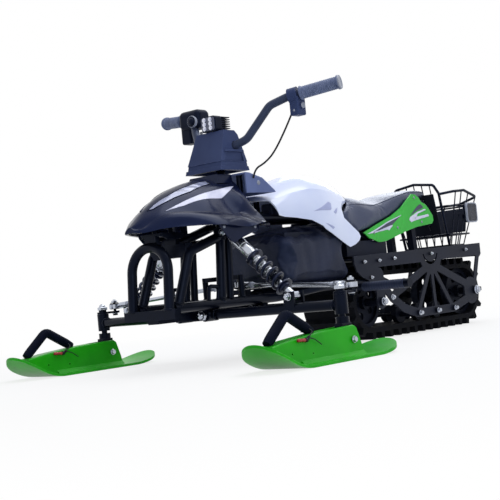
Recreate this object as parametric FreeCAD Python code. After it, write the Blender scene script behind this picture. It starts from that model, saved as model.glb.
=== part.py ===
import FreeCAD, Part
import math
import os

# Youth snowmobile: two steered skis in front, one rubber track behind, tube frame,
# plastic cowl, tank shell, seat with tail panels and a wire basket.
# Millimetres. +X forward, +Y to the rider's left, +Z up, floor at Z = 0.
# Station X = 0 in the numbers below is the kingpin line; every part is moved by
# ORIGIN_SHIFT at the end, so that the origin is the middle of the footprint.

Vec = FreeCAD.Vector

# Overall
ORIGIN_SHIFT = 463.5        # from the kingpin line to the middle of the length
STANCE = 427.0              # half the distance between the two kingpins
SLIP = 0.05                 # radial running clearance of pins in their bores
GAP = 0.3                   # clearance between neighbouring fixed parts

# Skis
SKI_HALF_W = 65.5
SKI_TAIL_X = -166.0
SKI_TIP_X = 332.0
SKI_TIP_Z = 62.0
SKI_TAIL_Z = 26.0
SKI_THICK = 7.0
SKI_FLAT_REAR = -60.0
SKI_FLAT_FRONT = 205.0
RIB_FOOT_HALF = 31.0
RIB_TOP_HALF = 20.0
RIB_REAR_X = -34.0
RIB_TOP_REAR_Z = 78.0
RIB_FRONT_X = 292.0
RIB_FRONT_Z = 56.0
RIB_HOLES = ((232.0, 33.0), (159.0, 28.0))
SKI_PIVOT_Z = 44.0
SKI_BOLT_R = 5.0
CHANNEL_HALF = 13.0         # half the width of the slot for the spindle's foot
KEEL_HALF = 9.0             # half the width of the hollow between the two runners
KEEL_DEPTH = 3.0
HANDLE_R = 12.5
HANDLE_BASE_X = 279.0
HANDLE_APEX_X = 212.0
HANDLE_APEX_Z = 122.0
HANDLE_REAR_X = 128.0

# Spindle and lower arm
KINGPIN_R = 8.0
HOUSING_R = 16.5
HOUSING_Z0 = 106.0
HOUSING_Z1 = 154.0
COLLAR_Z0 = 84.0
COLLAR_Z1 = 99.0
FOOT_HALF_X = 18.0
FOOT_HALF_Y = 12.0
FOOT_Z0 = 30.0
STEER_ARM = 48.0            # kingpin to tie rod ball
ARM_PLATE_T = 6.0
TIE_BALL_Z = 173.0
TUBE_R = 12.5
ARM_FRONT_X = 50.0
ARM_REAR_X = -145.0
ARM_PIVOT_Y = 46.0
ARM_PIVOT_Z = 129.0
PIVOT_SLEEVE_R = 16.0
PIVOT_BOLT_R = 6.0
SLEEVE_LEN = 44.0

# Steering column
COLUMN_FOOT_X = -55.0
COLUMN_FOOT_Z = 185.0
COLUMN_TOP_X = -102.0
COLUMN_TOP_Z = 580.0
COLUMN_R = 11.0
PITMAN_Y = 19.0             # half the distance between the inner tie rod balls
TIE_INNER_X = -103.0
TIE_INNER_Z = 199.0
TIE_ROD_R = 6.0
EYE_HALF = 6.0
STUD_R = 4.0
OUTER_BORE_R = 7.0          # wide, so that the opened linkage can drift

# Frame
FRAME_Y = 65.0
LOWER_RAIL_Z = 156.0
FRONT_BAR_X = 211.0
FRONT_BAR_HALF = 90.0
BAR_TOP_Z = 155.0
RAIL_REAR_X = -640.0
RAIL_REAR_Y = 114.6
RAIL_REAR_Z = 172.0
HOOP_TOP_Z = 312.0
HOOP_TOP_X = 201.0
DOWN_BEND_X = 126.0
DOWN_BEND_Z = 294.0
TOP_RAIL_FRONT_X = -150.0
TOP_RAIL_Z = 378.0
TOP_RAIL_REAR_X = -500.0
RAIL_FOOT_X = -690.0
RAIL_FOOT_Z = 272.0
POST_X = 12.0
POST_TOP_Z = 330.0
REAR_POST_X = -18.0
SHOCK_TOP_Y = 97.0
SHOCK_TOP_Z = 338.0
SHOCK_X = 6.0
SHOCK_LOW_Y = 290.0
SHOCK_LOW_Z = 158.0
EYE_WIDTH = 15.7            # half the width of a shock absorber's eye
TRAY_Z0 = 182.0
TRAY_Z1 = 186.0

# Track and tunnel
TRACK_HALF = 95.0
BELT_T = 14.0
LUG_H = 20.0
TRACK_R = 111.0
REAR_AXLE_X = -1148.0
FRONT_AXLE_X = -600.0
PLATE_Y = 130.0
PLATE_T = 5.0
LOWER_AXLE_Z = 62.0
LOWER_AXLES_X = (-793.0, -898.0, -1003.0)
WHEEL_GAP = 0.5
AXLE_R = 7.5
DECK_Z = 240.0
HUB_X = -893.0
HUB_Z = 242.0

# Bodywork
SHELL_T = 4.0
NECK_TOP_Z = 495.0
POD_BASE_Z = 505.0
POD_TOP_Z = 615.0
COVER_X0 = -480.0
COVER_X1 = -195.0
COVER_HALF = 120.0
COVER_Z0 = TRAY_Z1 + GAP
COVER_Z1 = 354.0

# Handlebar
BAR_R = 11.1
GRIP_R = 17.0
BAR_END_BEND = (-180.0, 184.0, 685.0)
GRIP_IN = (-192.7, 219.0, 689.4)
GRIP_OUT = (-229.5, 320.0, 702.0)

# Basket
WIRE_R = 3.0
RIM_R = 4.5
THIN_R = 2.0

os.makedirs("parts", exist_ok=True)


def box(x0, x1, y0, y1, z0, z1):
    return Part.makeBox(x1 - x0, y1 - y0, z1 - z0, Vec(x0, y0, z0))


def rod(a, b, r):
    a = Vec(*a)
    b = Vec(*b)
    d = b.sub(a)
    return Part.makeCylinder(r, d.Length, a, d)


def ring(a, b, r_out, r_in):
    return rod(a, b, r_out).cut(rod(a, b, r_in))


def ball(p, r):
    return Part.makeSphere(r, Vec(*p))


def route(points, bend):
    pts = [Vec(*p) for p in points]
    edges = []
    last = pts[0]
    for i in range(1, len(pts) - 1):
        d1 = pts[i].sub(pts[i - 1]).normalize()
        d2 = pts[i + 1].sub(pts[i]).normalize()
        turn = d1.getAngle(d2)
        if turn < 0.02:
            continue
        t = bend * math.tan(turn / 2)
        a = pts[i].sub(d1 * t)
        b = pts[i].add(d2 * t)
        side = d2.sub(d1).normalize()
        centre = pts[i].add(side * (bend / math.cos(turn / 2)))
        mid = centre.sub(side * bend)
        if a.sub(last).Length > 0.01:
            edges.append(Part.LineSegment(last, a).toShape())
        edges.append(Part.Arc(a, mid, b).toShape())
        last = b
    edges.append(Part.LineSegment(last, pts[-1]).toShape())
    return Part.Wire(edges)


def tube(points, r, bend):
    path = route(points, bend)
    first = Vec(*points[0])
    heading = Vec(*points[1]).sub(first)
    ring_wire = Part.Wire(Part.makeCircle(r, first, heading))
    return path.makePipeShell([ring_wire], True, False)


def plate_y(points, y0, y1):
    wire = Part.makePolygon([Vec(x, y0, z) for x, z in points + points[:1]])
    return Part.Face(wire).extrude(Vec(0, y1 - y0, 0))


def plate_x(points, x0, x1):
    wire = Part.makePolygon([Vec(x0, y, z) for y, z in points + points[:1]])
    return Part.Face(wire).extrude(Vec(x1 - x0, 0, 0))


def plate_z(points, z0, z1):
    wire = Part.makePolygon([Vec(x, y, z0) for x, y in points + points[:1]])
    return Part.Face(wire).extrude(Vec(0, 0, z1 - z0))


def link_y(a, b, half, y0, y1):
    ax, az = a
    bx, bz = b
    d = Vec(bx - ax, 0, bz - az).normalize()
    n = Vec(-d.z, 0, d.x) * half
    pts = [(ax + n.x, az + n.z), (bx + n.x, bz + n.z), (bx - n.x, bz - n.z), (ax - n.x, az - n.z)]
    body = plate_y(pts, y0, y1)
    for x, z in (a, b):
        body = body.fuse(Part.makeCylinder(half, y1 - y0, Vec(x, y0, z), Vec(0, 1, 0)))
    return body


def mirrored(shape):
    return shape.mirror(Vec(0, 0, 0), Vec(0, 1, 0))


def join(shapes):
    body = shapes[0]
    if len(shapes) > 1:
        body = body.multiFuse(shapes[1:])
    return body.removeSplitter()


def both(shape):
    return Part.makeCompound([shape, mirrored(shape)])


def smooth(points):
    curve = Part.BSplineCurve()
    curve.interpolate([Vec(*p) for p in points])
    return curve.toShape()


def loft(wires, ruled=False):
    return Part.makeLoft(wires, True, ruled)


def save(shape, name):
    moved = shape.copy()
    moved.translate(Vec(ORIGIN_SHIFT, 0, 0))
    moved.exportStep("parts/" + name + ".step")


def side_plan(points, depth):
    """Prism across the vehicle from a side view outline, the same on both sides."""
    return plate_y(points, -depth, depth)


# Skis

def ski_profile(lift):
    tail = [(SKI_TAIL_X, SKI_TAIL_Z + lift), (SKI_TAIL_X + 50, 8 + lift), (SKI_FLAT_REAR, lift)]
    tip = [(SKI_FLAT_FRONT, lift), (265, 13 + lift), (305, 36 + lift)]
    tip.append((SKI_TIP_X + 4, SKI_TIP_Z + lift))
    return tail, tip


def ski_edge(pts):
    curve = Part.BSplineCurve()
    curve.interpolate([Vec(x, 0, z) for x, z in pts])
    return curve.toShape()


def straight(a, b):
    return Part.LineSegment(Vec(a[0], 0, a[1]), Vec(b[0], 0, b[1])).toShape()


def ski_body(y):
    tail, tip = ski_profile(0)
    tail_up, tip_up = ski_profile(SKI_THICK)
    edges = [ski_edge(tail), straight(tail[-1], tip[0]), ski_edge(tip), straight(tip[-1], tip_up[-1])]
    edges.append(ski_edge(list(reversed(tip_up))))
    edges.append(straight(tip_up[0], tail_up[-1]))
    edges.append(ski_edge(list(reversed(tail_up))))
    edges.append(straight(tail_up[0], tail[0]))
    face = Part.Face(Part.Wire(edges))
    face.translate(Vec(0, -SKI_HALF_W - 5, 0))
    slab = face.extrude(Vec(0, 2 * SKI_HALF_W + 10, 0))
    tip_c = SKI_TIP_X - 52.0
    tail_c = SKI_TAIL_X + SKI_HALF_W
    outline = box(tail_c, tip_c, -SKI_HALF_W, SKI_HALF_W, -5, 120)
    outline = outline.fuse(Part.makeCylinder(SKI_HALF_W, 125, Vec(tail_c, 0, -5)))
    nose = Part.makeCylinder(SKI_HALF_W, 125, Vec(0, 0, -5))
    squeeze = FreeCAD.Matrix()
    squeeze.scale(52.0 / SKI_HALF_W, 1.0, 1.0)
    nose = nose.transformGeometry(squeeze)
    nose.translate(Vec(tip_c, 0, 0))
    slab = slab.common(outline.fuse(nose))
    rib_side = [(RIB_REAR_X, 3), (RIB_REAR_X + 3, 30), (RIB_REAR_X + 12, RIB_TOP_REAR_Z - 8)]
    rib_side += [(RIB_REAR_X + 21, RIB_TOP_REAR_Z), (120, 73), (230, 64), (RIB_FRONT_X, RIB_FRONT_Z)]
    rib_side += [(RIB_FRONT_X + 4, 38), (250, 13), (200, 3)]
    rib = plate_y(rib_side, -40, 40)
    slope = [(-RIB_FOOT_HALF, 2), (RIB_FOOT_HALF, 2), (RIB_TOP_HALF, 80), (-RIB_TOP_HALF, 80)]
    rib = rib.common(plate_x(slope, -100, 340))
    rib = rib.makeFillet(5.0, long_top_edges(rib, 50))
    half = RIB_FOOT_HALF
    foot = [(-half - 9, 6), (-half + 2, 16), (half - 2, 16), (half + 9, 6)]
    foot += [(RIB_FOOT_HALF + 9, 3), (-RIB_FOOT_HALF - 9, 3)]
    skirt = plate_x(foot, RIB_REAR_X + 1, 206)
    ski = slab.fuse(rib).fuse(skirt)
    slot = box(-60, 66, -CHANNEL_HALF, CHANNEL_HALF, 16, 120)
    ski = ski.cut(slot)
    ski = ski.cut(box(SKI_FLAT_REAR - 20, SKI_FLAT_FRONT + 10, -KEEL_HALF, KEEL_HALF, -1, KEEL_DEPTH))
    ski = ski.cut(rod((0, -60, SKI_PIVOT_Z), (0, 60, SKI_PIVOT_Z), SKI_BOLT_R + SLIP))
    for x, z in RIB_HOLES:
        ski = ski.cut(rod((x, -60, z), (x, 60, z), 2.6))
    ski = ski.removeSplitter()
    ski.translate(Vec(0, y, 0))
    return ski


def long_top_edges(shape, length):
    """Edges that run along the vehicle near the top of a rib."""
    picked = []
    for e in shape.Edges:
        b = e.BoundBox
        if b.XLength > length and b.YLength < 6 and b.ZMin > 40:
            picked.append(e)
    return picked


def ski_grip(y):
    pts = [(HANDLE_BASE_X + 6, y, 60), (HANDLE_APEX_X, y, HANDLE_APEX_Z), (HANDLE_REAR_X, y, 75.5)]
    body = tube(pts, HANDLE_R, 20)
    side = [(100, 74.7), (230, 64.9), (RIB_FRONT_X + 1, RIB_FRONT_Z + 1), (340, 56), (340, 200), (100, 200)]
    return body.common(plate_y(side, y - 30, y + 30))


# Spindle

def spindle(y):
    core = rod((0, y, COLLAR_Z0), (0, y, HOUSING_Z1 + ARM_PLATE_T + 10), KINGPIN_R)
    collar = rod((0, y, COLLAR_Z0), (0, y, COLLAR_Z1), HOUSING_R)
    foot = box(-FOOT_HALF_X, FOOT_HALF_X, y - FOOT_HALF_Y, y + FOOT_HALF_Y, FOOT_Z0, COLLAR_Z0)
    bolt = rod((0, y - 33, SKI_PIVOT_Z), (0, y + 33, SKI_PIVOT_Z), SKI_BOLT_R)
    z0 = HOUSING_Z1 + GAP
    z1 = z0 + ARM_PLATE_T
    arm = box(-STEER_ARM, 0, y - 11, y + 11, z0, z1)
    arm = arm.fuse(rod((-STEER_ARM, y, z0), (-STEER_ARM, y, z1), 13))
    arm = arm.fuse(rod((0, y, z0), (0, y, z1), 16))
    nut = rod((0, y, z1), (0, y, z1 + 8), 11)
    dome = ball((0, y, z1 + 8), 8)
    stud = rod((-STEER_ARM, y, z1), (-STEER_ARM, y, TIE_BALL_Z + 17), STUD_R)
    washer_z = TIE_BALL_Z + EYE_HALF + 3.5
    washer = rod((-STEER_ARM, y, washer_z), (-STEER_ARM, y, washer_z + 2), 12)
    top_nut = rod((-STEER_ARM, y, washer_z + 2), (-STEER_ARM, y, washer_z + 8), 7)
    under = rod((-STEER_ARM, y, z0 - 7), (-STEER_ARM, y, z0), 7)
    return join([core, collar, foot, bolt, arm, nut, dome, stud, washer, top_nut, under])


# Lower arms

def lower_arm():
    y = STANCE
    housing = rod((0, y, HOUSING_Z0), (0, y, HOUSING_Z1), HOUSING_R)
    front = rod((ARM_FRONT_X - 6, ARM_PIVOT_Y, ARM_PIVOT_Z), (2, y - 8, 128), TUBE_R)
    rear = rod((ARM_REAR_X + 6, ARM_PIVOT_Y, ARM_PIVOT_Z), (-2, y - 8, 128), TUBE_R)
    brace = rod((-75, 200, 128), (22, 240, 128), 8)
    parts = [housing, front, rear, brace]
    s = SLEEVE_LEN / 2
    for x in (ARM_FRONT_X, ARM_REAR_X):
        near = (x - s, ARM_PIVOT_Y, ARM_PIVOT_Z)
        far = (x + s, ARM_PIVOT_Y, ARM_PIVOT_Z)
        parts.append(rod(near, far, PIVOT_SLEEVE_R))
    low = SHOCK_LOW_Y
    parts.append(box(SHOCK_X - 22, SHOCK_X + 22, low - 16, low + 16, 126, 133))
    for x0 in (SHOCK_X - 22, SHOCK_X + 16):
        parts.append(box(x0, x0 + 6, low - 16, low + 16, 128, SHOCK_LOW_Z + 12))
    arm = join(parts)
    arm = arm.cut(rod((0, y, HOUSING_Z0 - 5), (0, y, HOUSING_Z1 + 5), KINGPIN_R + SLIP))
    for x in (ARM_FRONT_X, ARM_REAR_X):
        near = (x - 40, ARM_PIVOT_Y, ARM_PIVOT_Z)
        far = (x + 40, ARM_PIVOT_Y, ARM_PIVOT_Z)
        bore = rod(near, far, PIVOT_BOLT_R + SLIP)
        arm = arm.cut(bore)
    return arm.cut(rod((SHOCK_X - 40, low, SHOCK_LOW_Z), (SHOCK_X + 40, low, SHOCK_LOW_Z), 5.0 + SLIP))


# Shock absorbers

shock_top = Vec(SHOCK_X, SHOCK_TOP_Y, SHOCK_TOP_Z)
shock_low = Vec(SHOCK_X, SHOCK_LOW_Y, SHOCK_LOW_Z)
shock_dir = Vec(shock_low.sub(shock_top)).normalize()
shock_len = shock_low.sub(shock_top).Length


def on_shock(s):
    p = shock_top.add(shock_dir * s)
    return (p.x, p.y, p.z)


SPRING_S0 = 112.0
SPRING_S1 = shock_len - 40.0
SPRING_R = 19.0
SPRING_WIRE_R = 4.5
SPRING_TURNS = 4.7


def damper():
    x = SHOCK_X
    top_eye = rod((x - EYE_WIDTH, SHOCK_TOP_Y, SHOCK_TOP_Z), (x + EYE_WIDTH, SHOCK_TOP_Y, SHOCK_TOP_Z), 13)
    low_eye = rod((x - EYE_WIDTH, SHOCK_LOW_Y, SHOCK_LOW_Z), (x + EYE_WIDTH, SHOCK_LOW_Y, SHOCK_LOW_Z), 12)
    parts = [top_eye, low_eye]
    parts.append(rod(on_shock(8), on_shock(SPRING_S0 - 14), 15.5))
    parts.append(rod(on_shock(SPRING_S0 - 14), on_shock(SPRING_S0 - 6), 18))
    parts.append(rod(on_shock(SPRING_S0 - 6), on_shock(SPRING_S0 - GAP), 25))
    parts.append(rod(on_shock(SPRING_S0 - 8), on_shock(186), 12.5))
    parts.append(rod(on_shock(186), on_shock(shock_len - 8), 7))
    parts.append(rod(on_shock(SPRING_S1 + GAP), on_shock(SPRING_S1 + 5), 25))
    parts.append(rod(on_shock(SPRING_S1 + 5), on_shock(SPRING_S1 + 12), 18))
    parts.append(rod(on_shock(SPRING_S1 + 12), on_shock(shock_len - 8), 10))
    body = join(parts)
    for y, z in ((SHOCK_TOP_Y, SHOCK_TOP_Z), (SHOCK_LOW_Y, SHOCK_LOW_Z)):
        body = body.cut(rod((x - 40, y, z), (x + 40, y, z), 5.0 + SLIP))
    return body


def spring():
    length = SPRING_S1 - SPRING_S0 - 2 * SPRING_WIRE_R
    helix = Part.makeHelix(length / SPRING_TURNS, length, SPRING_R)
    start = Vec(SPRING_R, 0, 0)
    wire = Part.Wire(Part.makeCircle(SPRING_WIRE_R, start, Vec(0, 1, 0)))
    coil = Part.Wire(helix).makePipeShell([wire], True, True)
    turn = FreeCAD.Rotation(Vec(0, 0, 1), shock_dir)
    base = shock_top.add(shock_dir * (SPRING_S0 + SPRING_WIRE_R))
    coil.Placement = FreeCAD.Placement(base, turn)
    return coil


# Frame

def lower_rail(s, r):
    pts = [(FRONT_BAR_X - 11, s * FRAME_Y, LOWER_RAIL_Z), (-200, s * FRAME_Y, LOWER_RAIL_Z)]
    pts += [(-330, s * RAIL_REAR_Y, RAIL_REAR_Z), (RAIL_REAR_X, s * RAIL_REAR_Y, RAIL_REAR_Z)]
    return tube(pts, r, 90)


def small_loop(s):
    y = s * FRAME_Y
    return tube([(72, y, 160), (66, y, 203), (30, y, 200), (38, y, 160)], 5, 9)


def lower_frame():
    beam = box(ARM_REAR_X - 30, ARM_FRONT_X + 34, -26, 26, 116, 142)
    bar = box(FRONT_BAR_X - 11, FRONT_BAR_X + 11, -FRONT_BAR_HALF, FRONT_BAR_HALF, 130, BAR_TOP_Z)
    parts = [beam, bar]
    parts.append(box(ARM_FRONT_X + 20, FRONT_BAR_X, -18, 18, 120, 140))
    h = SLEEVE_LEN / 2 + GAP
    for s in (1, -1):
        parts.append(lower_rail(s, TUBE_R))
        parts.append(small_loop(s))
        for x in (ARM_FRONT_X, ARM_REAR_X):
            for a, b in ((x - h - 6, x - h), (x + h, x + h + 6)):
                parts.append(box(a, b, min(0, s * 53), max(0, s * 53), 116, 146))
            bolt_a = (x - h - 14, s * ARM_PIVOT_Y, ARM_PIVOT_Z)
            bolt_b = (x + h + 14, s * ARM_PIVOT_Y, ARM_PIVOT_Z)
            parts.append(rod(bolt_a, bolt_b, PIVOT_BOLT_R))
            parts.append(rod((x + h + 6, bolt_b[1], ARM_PIVOT_Z), (x + h + 15, bolt_b[1], ARM_PIVOT_Z), 11))
    for x in (ARM_FRONT_X, ARM_REAR_X):
        parts.append(rod((x, -FRAME_Y, LOWER_RAIL_Z), (x, FRAME_Y, LOWER_RAIL_Z), 9))
    parts.append(rod((-420, -RAIL_REAR_Y, RAIL_REAR_Z), (-420, RAIL_REAR_Y, RAIL_REAR_Z), 9))
    parts.append(box(COVER_X0 - 4, COVER_X1 + 4, -COVER_HALF - 3, COVER_HALF + 3, TRAY_Z0, TRAY_Z1))
    for s in (1, -1):
        parts.append(box(-235, -205, min(s * 58, s * 82), max(s * 58, s * 82), 160, TRAY_Z0))
    foot_x = column_point(215)[0]
    parts.append(box(foot_x - 6, foot_x + 6, -FRAME_Y, FRAME_Y, 214, 226))
    parts.append(rod(column_point(212), column_point(236), 17))
    for s in (1, -1):
        parts.append(rod((foot_x, s * FRAME_Y, LOWER_RAIL_Z), (foot_x, s * FRAME_Y, 226), 8))
    return join(parts).cut(rod(column_point(190), column_point(500), COLUMN_R + SLIP))


def front_hoop():
    x = FRONT_BAR_X + 4
    top = HOOP_TOP_X
    pts = [(x, -FRAME_Y, 150), (top, -FRAME_Y, HOOP_TOP_Z), (top, FRAME_Y, HOOP_TOP_Z), (x, FRAME_Y, 150)]
    return tube(pts, TUBE_R, 62).cut(box(x - 60, x + 60, -120, 120, 100, BAR_TOP_Z))


def column_point(z):
    t = (z - COLUMN_FOOT_Z) / (COLUMN_TOP_Z - COLUMN_FOOT_Z)
    return (COLUMN_FOOT_X + t * (COLUMN_TOP_X - COLUMN_FOOT_X), 0, z)


def upper_frame():
    parts = []
    for s in (1, -1):
        y = s * FRAME_Y
        side = [(184, y, LOWER_RAIL_Z), (DOWN_BEND_X, y, DOWN_BEND_Z), (TOP_RAIL_FRONT_X, y, TOP_RAIL_Z)]
        side += [(TOP_RAIL_REAR_X, y, TOP_RAIL_Z), (RAIL_FOOT_X, y, RAIL_FOOT_Z)]
        side += [(RAIL_FOOT_X - 4, y, DECK_Z)]
        parts.append(tube(side, TUBE_R, 30))
        parts.append(rod((POST_X + 12, y, LOWER_RAIL_Z), (POST_X - 6, y, POST_TOP_Z), TUBE_R))
        parts.append(rod((REAR_POST_X + 8, y, LOWER_RAIL_Z), (REAR_POST_X - 6, y, 345), 10))
        for x0 in (SHOCK_X - 24, SHOCK_X + 16):
            reach = s * 112
            lug = box(x0, x0 + 8, min(y, reach), max(y, reach), SHOCK_TOP_Z - 12, SHOCK_TOP_Z + 12)
            parts.append(lug)
        eye = s * SHOCK_TOP_Y
        parts.append(rod((SHOCK_X - 30, eye, SHOCK_TOP_Z), (SHOCK_X + 30, eye, SHOCK_TOP_Z), 5))
        parts.append(under_shell((4, y, 318), (4, y, 475), 9, cowl))
        parts.append(under_shell((-94, s * 62, 366), (-94, s * 62, 500), 8, console))
        parts.append(under_shell((-300, s * 62, TOP_RAIL_Z), (-300, s * 62, 520), 8, tank))
        parts.append(under_shell((-440, s * 62, TOP_RAIL_Z), (-440, s * 62, 520), 8, tank))
    parts.append(box(DOWN_BEND_X - 14, DOWN_BEND_X + 12, -FRAME_Y, FRAME_Y, 282, 316))
    parts.append(rod((60, -FRAME_Y, 314), (60, FRAME_Y, 314), 9))
    parts.append(rod((-300, -FRAME_Y, TOP_RAIL_Z), (-300, FRAME_Y, TOP_RAIL_Z), 9))
    hx = column_point(400)[0]
    parts.append(box(hx - 6, hx + 6, -FRAME_Y, FRAME_Y, 352, 364))
    parts.append(rod(column_point(352), column_point(392), 17))
    body = join(parts)
    for s in (1, -1):
        body = body.cut(lower_rail(s, TUBE_R)).cut(small_loop(s))
    body = body.cut(box(-800, -400, -100, 100, 200, DECK_Z + 4 + GAP))
    return body.cut(rod(column_point(190), column_point(500), COLUMN_R + SLIP))


def under_shell(a, b, r, shell):
    """A post that ends against the inside of a body panel."""
    top = 0.3
    cut_by = shell.copy()
    cut_by.translate(Vec(0, 0, -top))
    post = rod(a, b, r).cut(shell).cut(cut_by)
    solids = sorted(post.Solids, key=lambda s: s.CenterOfMass.z)
    return solids[0]


def nose_bracket():
    """Bracket from the hoop and the cross member up to the nose of the cowl."""
    tray = box(104, 192, -34, 34, 338, 346)
    parts = [tray]
    for s in (1, -1):
        edge = plate_y([(100, 346), (192, 346), (188, 338), (172, 330), (120, 330), (104, 338)], 0, 4)
        edge.translate(Vec(0, 34 if s > 0 else -38, 0))
        parts.append(edge)
    z = HOOP_TOP_Z
    parts.append(box(HOOP_TOP_X - 18, HOOP_TOP_X - 5, -20, 20, z - 4, 340))
    parts.append(box(112, 126, -20, 20, 316 + GAP, 340))
    parts.append(under_shell((178, 0, 342), (178, 0, 430), 6, cowl))
    parts.append(under_shell((120, 0, 342), (120, 0, 470), 6, cowl))
    body = join(parts)
    hoop_top = rod((HOOP_TOP_X, -60, z), (HOOP_TOP_X, 60, z), TUBE_R + GAP)
    return body.cut(hoop_top)


# Steering

column_axis = Vec(Vec(COLUMN_TOP_X - COLUMN_FOOT_X, 0, COLUMN_TOP_Z - COLUMN_FOOT_Z)).normalize()
column_tilt = math.degrees(math.atan2(COLUMN_FOOT_X - COLUMN_TOP_X, COLUMN_TOP_Z - COLUMN_FOOT_Z))


def along_column(p, low, high, r):
    """Cylinder through a point, parallel to the steering column."""
    p = Vec(*p)
    return Part.makeCylinder(r, high - low, p.add(column_axis * low), column_axis)


def steering_column():
    foot = (COLUMN_FOOT_X, 0, COLUMN_FOOT_Z)
    core = rod(foot, column_point(COLUMN_TOP_Z), COLUMN_R)
    hub = along_column(foot, -6, 9, 17)
    reach = COLUMN_FOOT_X - STEER_ARM
    outline = [(COLUMN_FOOT_X + 6, -15), (COLUMN_FOOT_X + 6, 15), (reach - 8, PITMAN_Y + 10)]
    outline.append((reach - 8, -PITMAN_Y - 10))
    blade = plate_z(outline, COLUMN_FOOT_Z - 6, COLUMN_FOOT_Z + 1)
    blade.rotate(Vec(*foot), Vec(0, 1, 0), -column_tilt)
    parts = [core, hub, blade]
    for s in (1, -1):
        ball_at = (TIE_INNER_X, s * PITMAN_Y, TIE_INNER_Z)
        parts.append(along_column(ball_at, -28, EYE_HALF + 8, STUD_R))
        parts.append(along_column(ball_at, EYE_HALF + 1.5, EYE_HALF + 8, 7.5))
    parts.append(box(-112, -80, -24, 24, 548, 592))
    parts.append(box(-100, -88, -12, 12, 590, POD_TOP_Z - SHELL_T - GAP))
    body = join(parts)
    return body.cut(bar_tube(BAR_R + GAP))


def tie_rod(s):
    inner = Vec(TIE_INNER_X, s * PITMAN_Y, TIE_INNER_Z)
    outer = Vec(-STEER_ARM, s * STANCE, TIE_BALL_Z)
    d = Vec(outer.sub(inner)).normalize()
    a = inner.add(d * 12)
    b = outer.sub(d * 12)
    parts = [Part.makeCylinder(TIE_ROD_R, b.sub(a).Length, a, d)]
    parts.append(Part.makeCylinder(9, 26, inner.add(d * 18), d))
    parts.append(Part.makeCylinder(9, 26, outer.sub(d * 48), d))
    parts.append(along_column((inner.x, inner.y, inner.z), -EYE_HALF, EYE_HALF, 14))
    parts.append(Part.makeCylinder(16, 2 * EYE_HALF, outer.sub(Vec(0, 0, EYE_HALF))))
    body = join(parts)
    body = body.cut(along_column((inner.x, inner.y, inner.z), -20, 20, STUD_R + SLIP))
    return body.cut(Part.makeCylinder(OUTER_BORE_R, 40, outer.sub(Vec(0, 0, 20))))


def bar_tube(r):
    half = [(-112, 88, 585), (-154, 142, 668), BAR_END_BEND, GRIP_OUT]
    left = [(-95, 52, 570)] + half
    pts = [(x, -y, z) for x, y, z in reversed(left)] + left
    return tube(pts, r, 34)


def grips():
    a = Vec(*GRIP_IN)
    b = Vec(*GRIP_OUT)
    d = Vec(b.sub(a)).normalize()
    body = Part.makeCylinder(GRIP_R, b.sub(a).Length + 6, a, d)
    flange = Part.makeCylinder(GRIP_R + 2.5, 8, b.sub(d * 2), d)
    ring_in = Part.makeCylinder(GRIP_R + 2.5, 6, a, d)
    grip = body.fuse(flange).fuse(ring_in)
    start = Vec(*BAR_END_BEND)
    return grip.cut(Part.makeCylinder(BAR_R + GAP, b.sub(start).Length + GAP, start, b.sub(start)))


# Track

def stadium(r, y0, y1):
    z = TRACK_R
    mid = box(REAR_AXLE_X, FRONT_AXLE_X, y0, y1, z - r, z + r)
    rear = Part.makeCylinder(r, y1 - y0, Vec(REAR_AXLE_X, y0, z), Vec(0, 1, 0))
    front = Part.makeCylinder(r, y1 - y0, Vec(FRONT_AXLE_X, y0, z), Vec(0, 1, 0))
    return mid.fuse(rear).fuse(front).removeSplitter()


def track():
    r_belt = TRACK_R - LUG_H
    belt = stadium(r_belt, -TRACK_HALF, TRACK_HALF)
    belt = belt.cut(stadium(r_belt - BELT_T, -TRACK_HALF - 5, TRACK_HALF + 5))
    run = FRONT_AXLE_X - REAR_AXLE_X
    parts = [belt]
    count = 12
    pitch = run / count
    lug = [(-9, -1), (9, -1), (6, LUG_H), (-6, LUG_H)]
    for i in range(count + 1):
        x = REAR_AXLE_X + i * pitch
        up = [(x + u, TRACK_R + r_belt + w) for u, w in lug]
        down = [(x + u, TRACK_R - r_belt - w) for u, w in lug]
        parts.append(plate_y(up, -TRACK_HALF, TRACK_HALF))
        parts.append(plate_y(down, -TRACK_HALF, TRACK_HALF))
    turns = 6
    for axle_x, sign in ((REAR_AXLE_X, -1), (FRONT_AXLE_X, 1)):
        for k in range(1, turns):
            shoe = plate_y([(u, r_belt + w) for u, w in lug], -TRACK_HALF, TRACK_HALF)
            shoe.rotate(Vec(0, 0, 0), Vec(0, 1, 0), sign * k * 180.0 / turns)
            shoe.translate(Vec(axle_x, 0, TRACK_R))
            parts.append(shoe)
    return join(parts)


def wheel(x, z, r, y0, y1):
    return Part.makeCylinder(r, y1 - y0, Vec(x, y0, z), Vec(0, 1, 0))


def span(s, near, far):
    return min(s * near, s * far), max(s * near, s * far)


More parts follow.
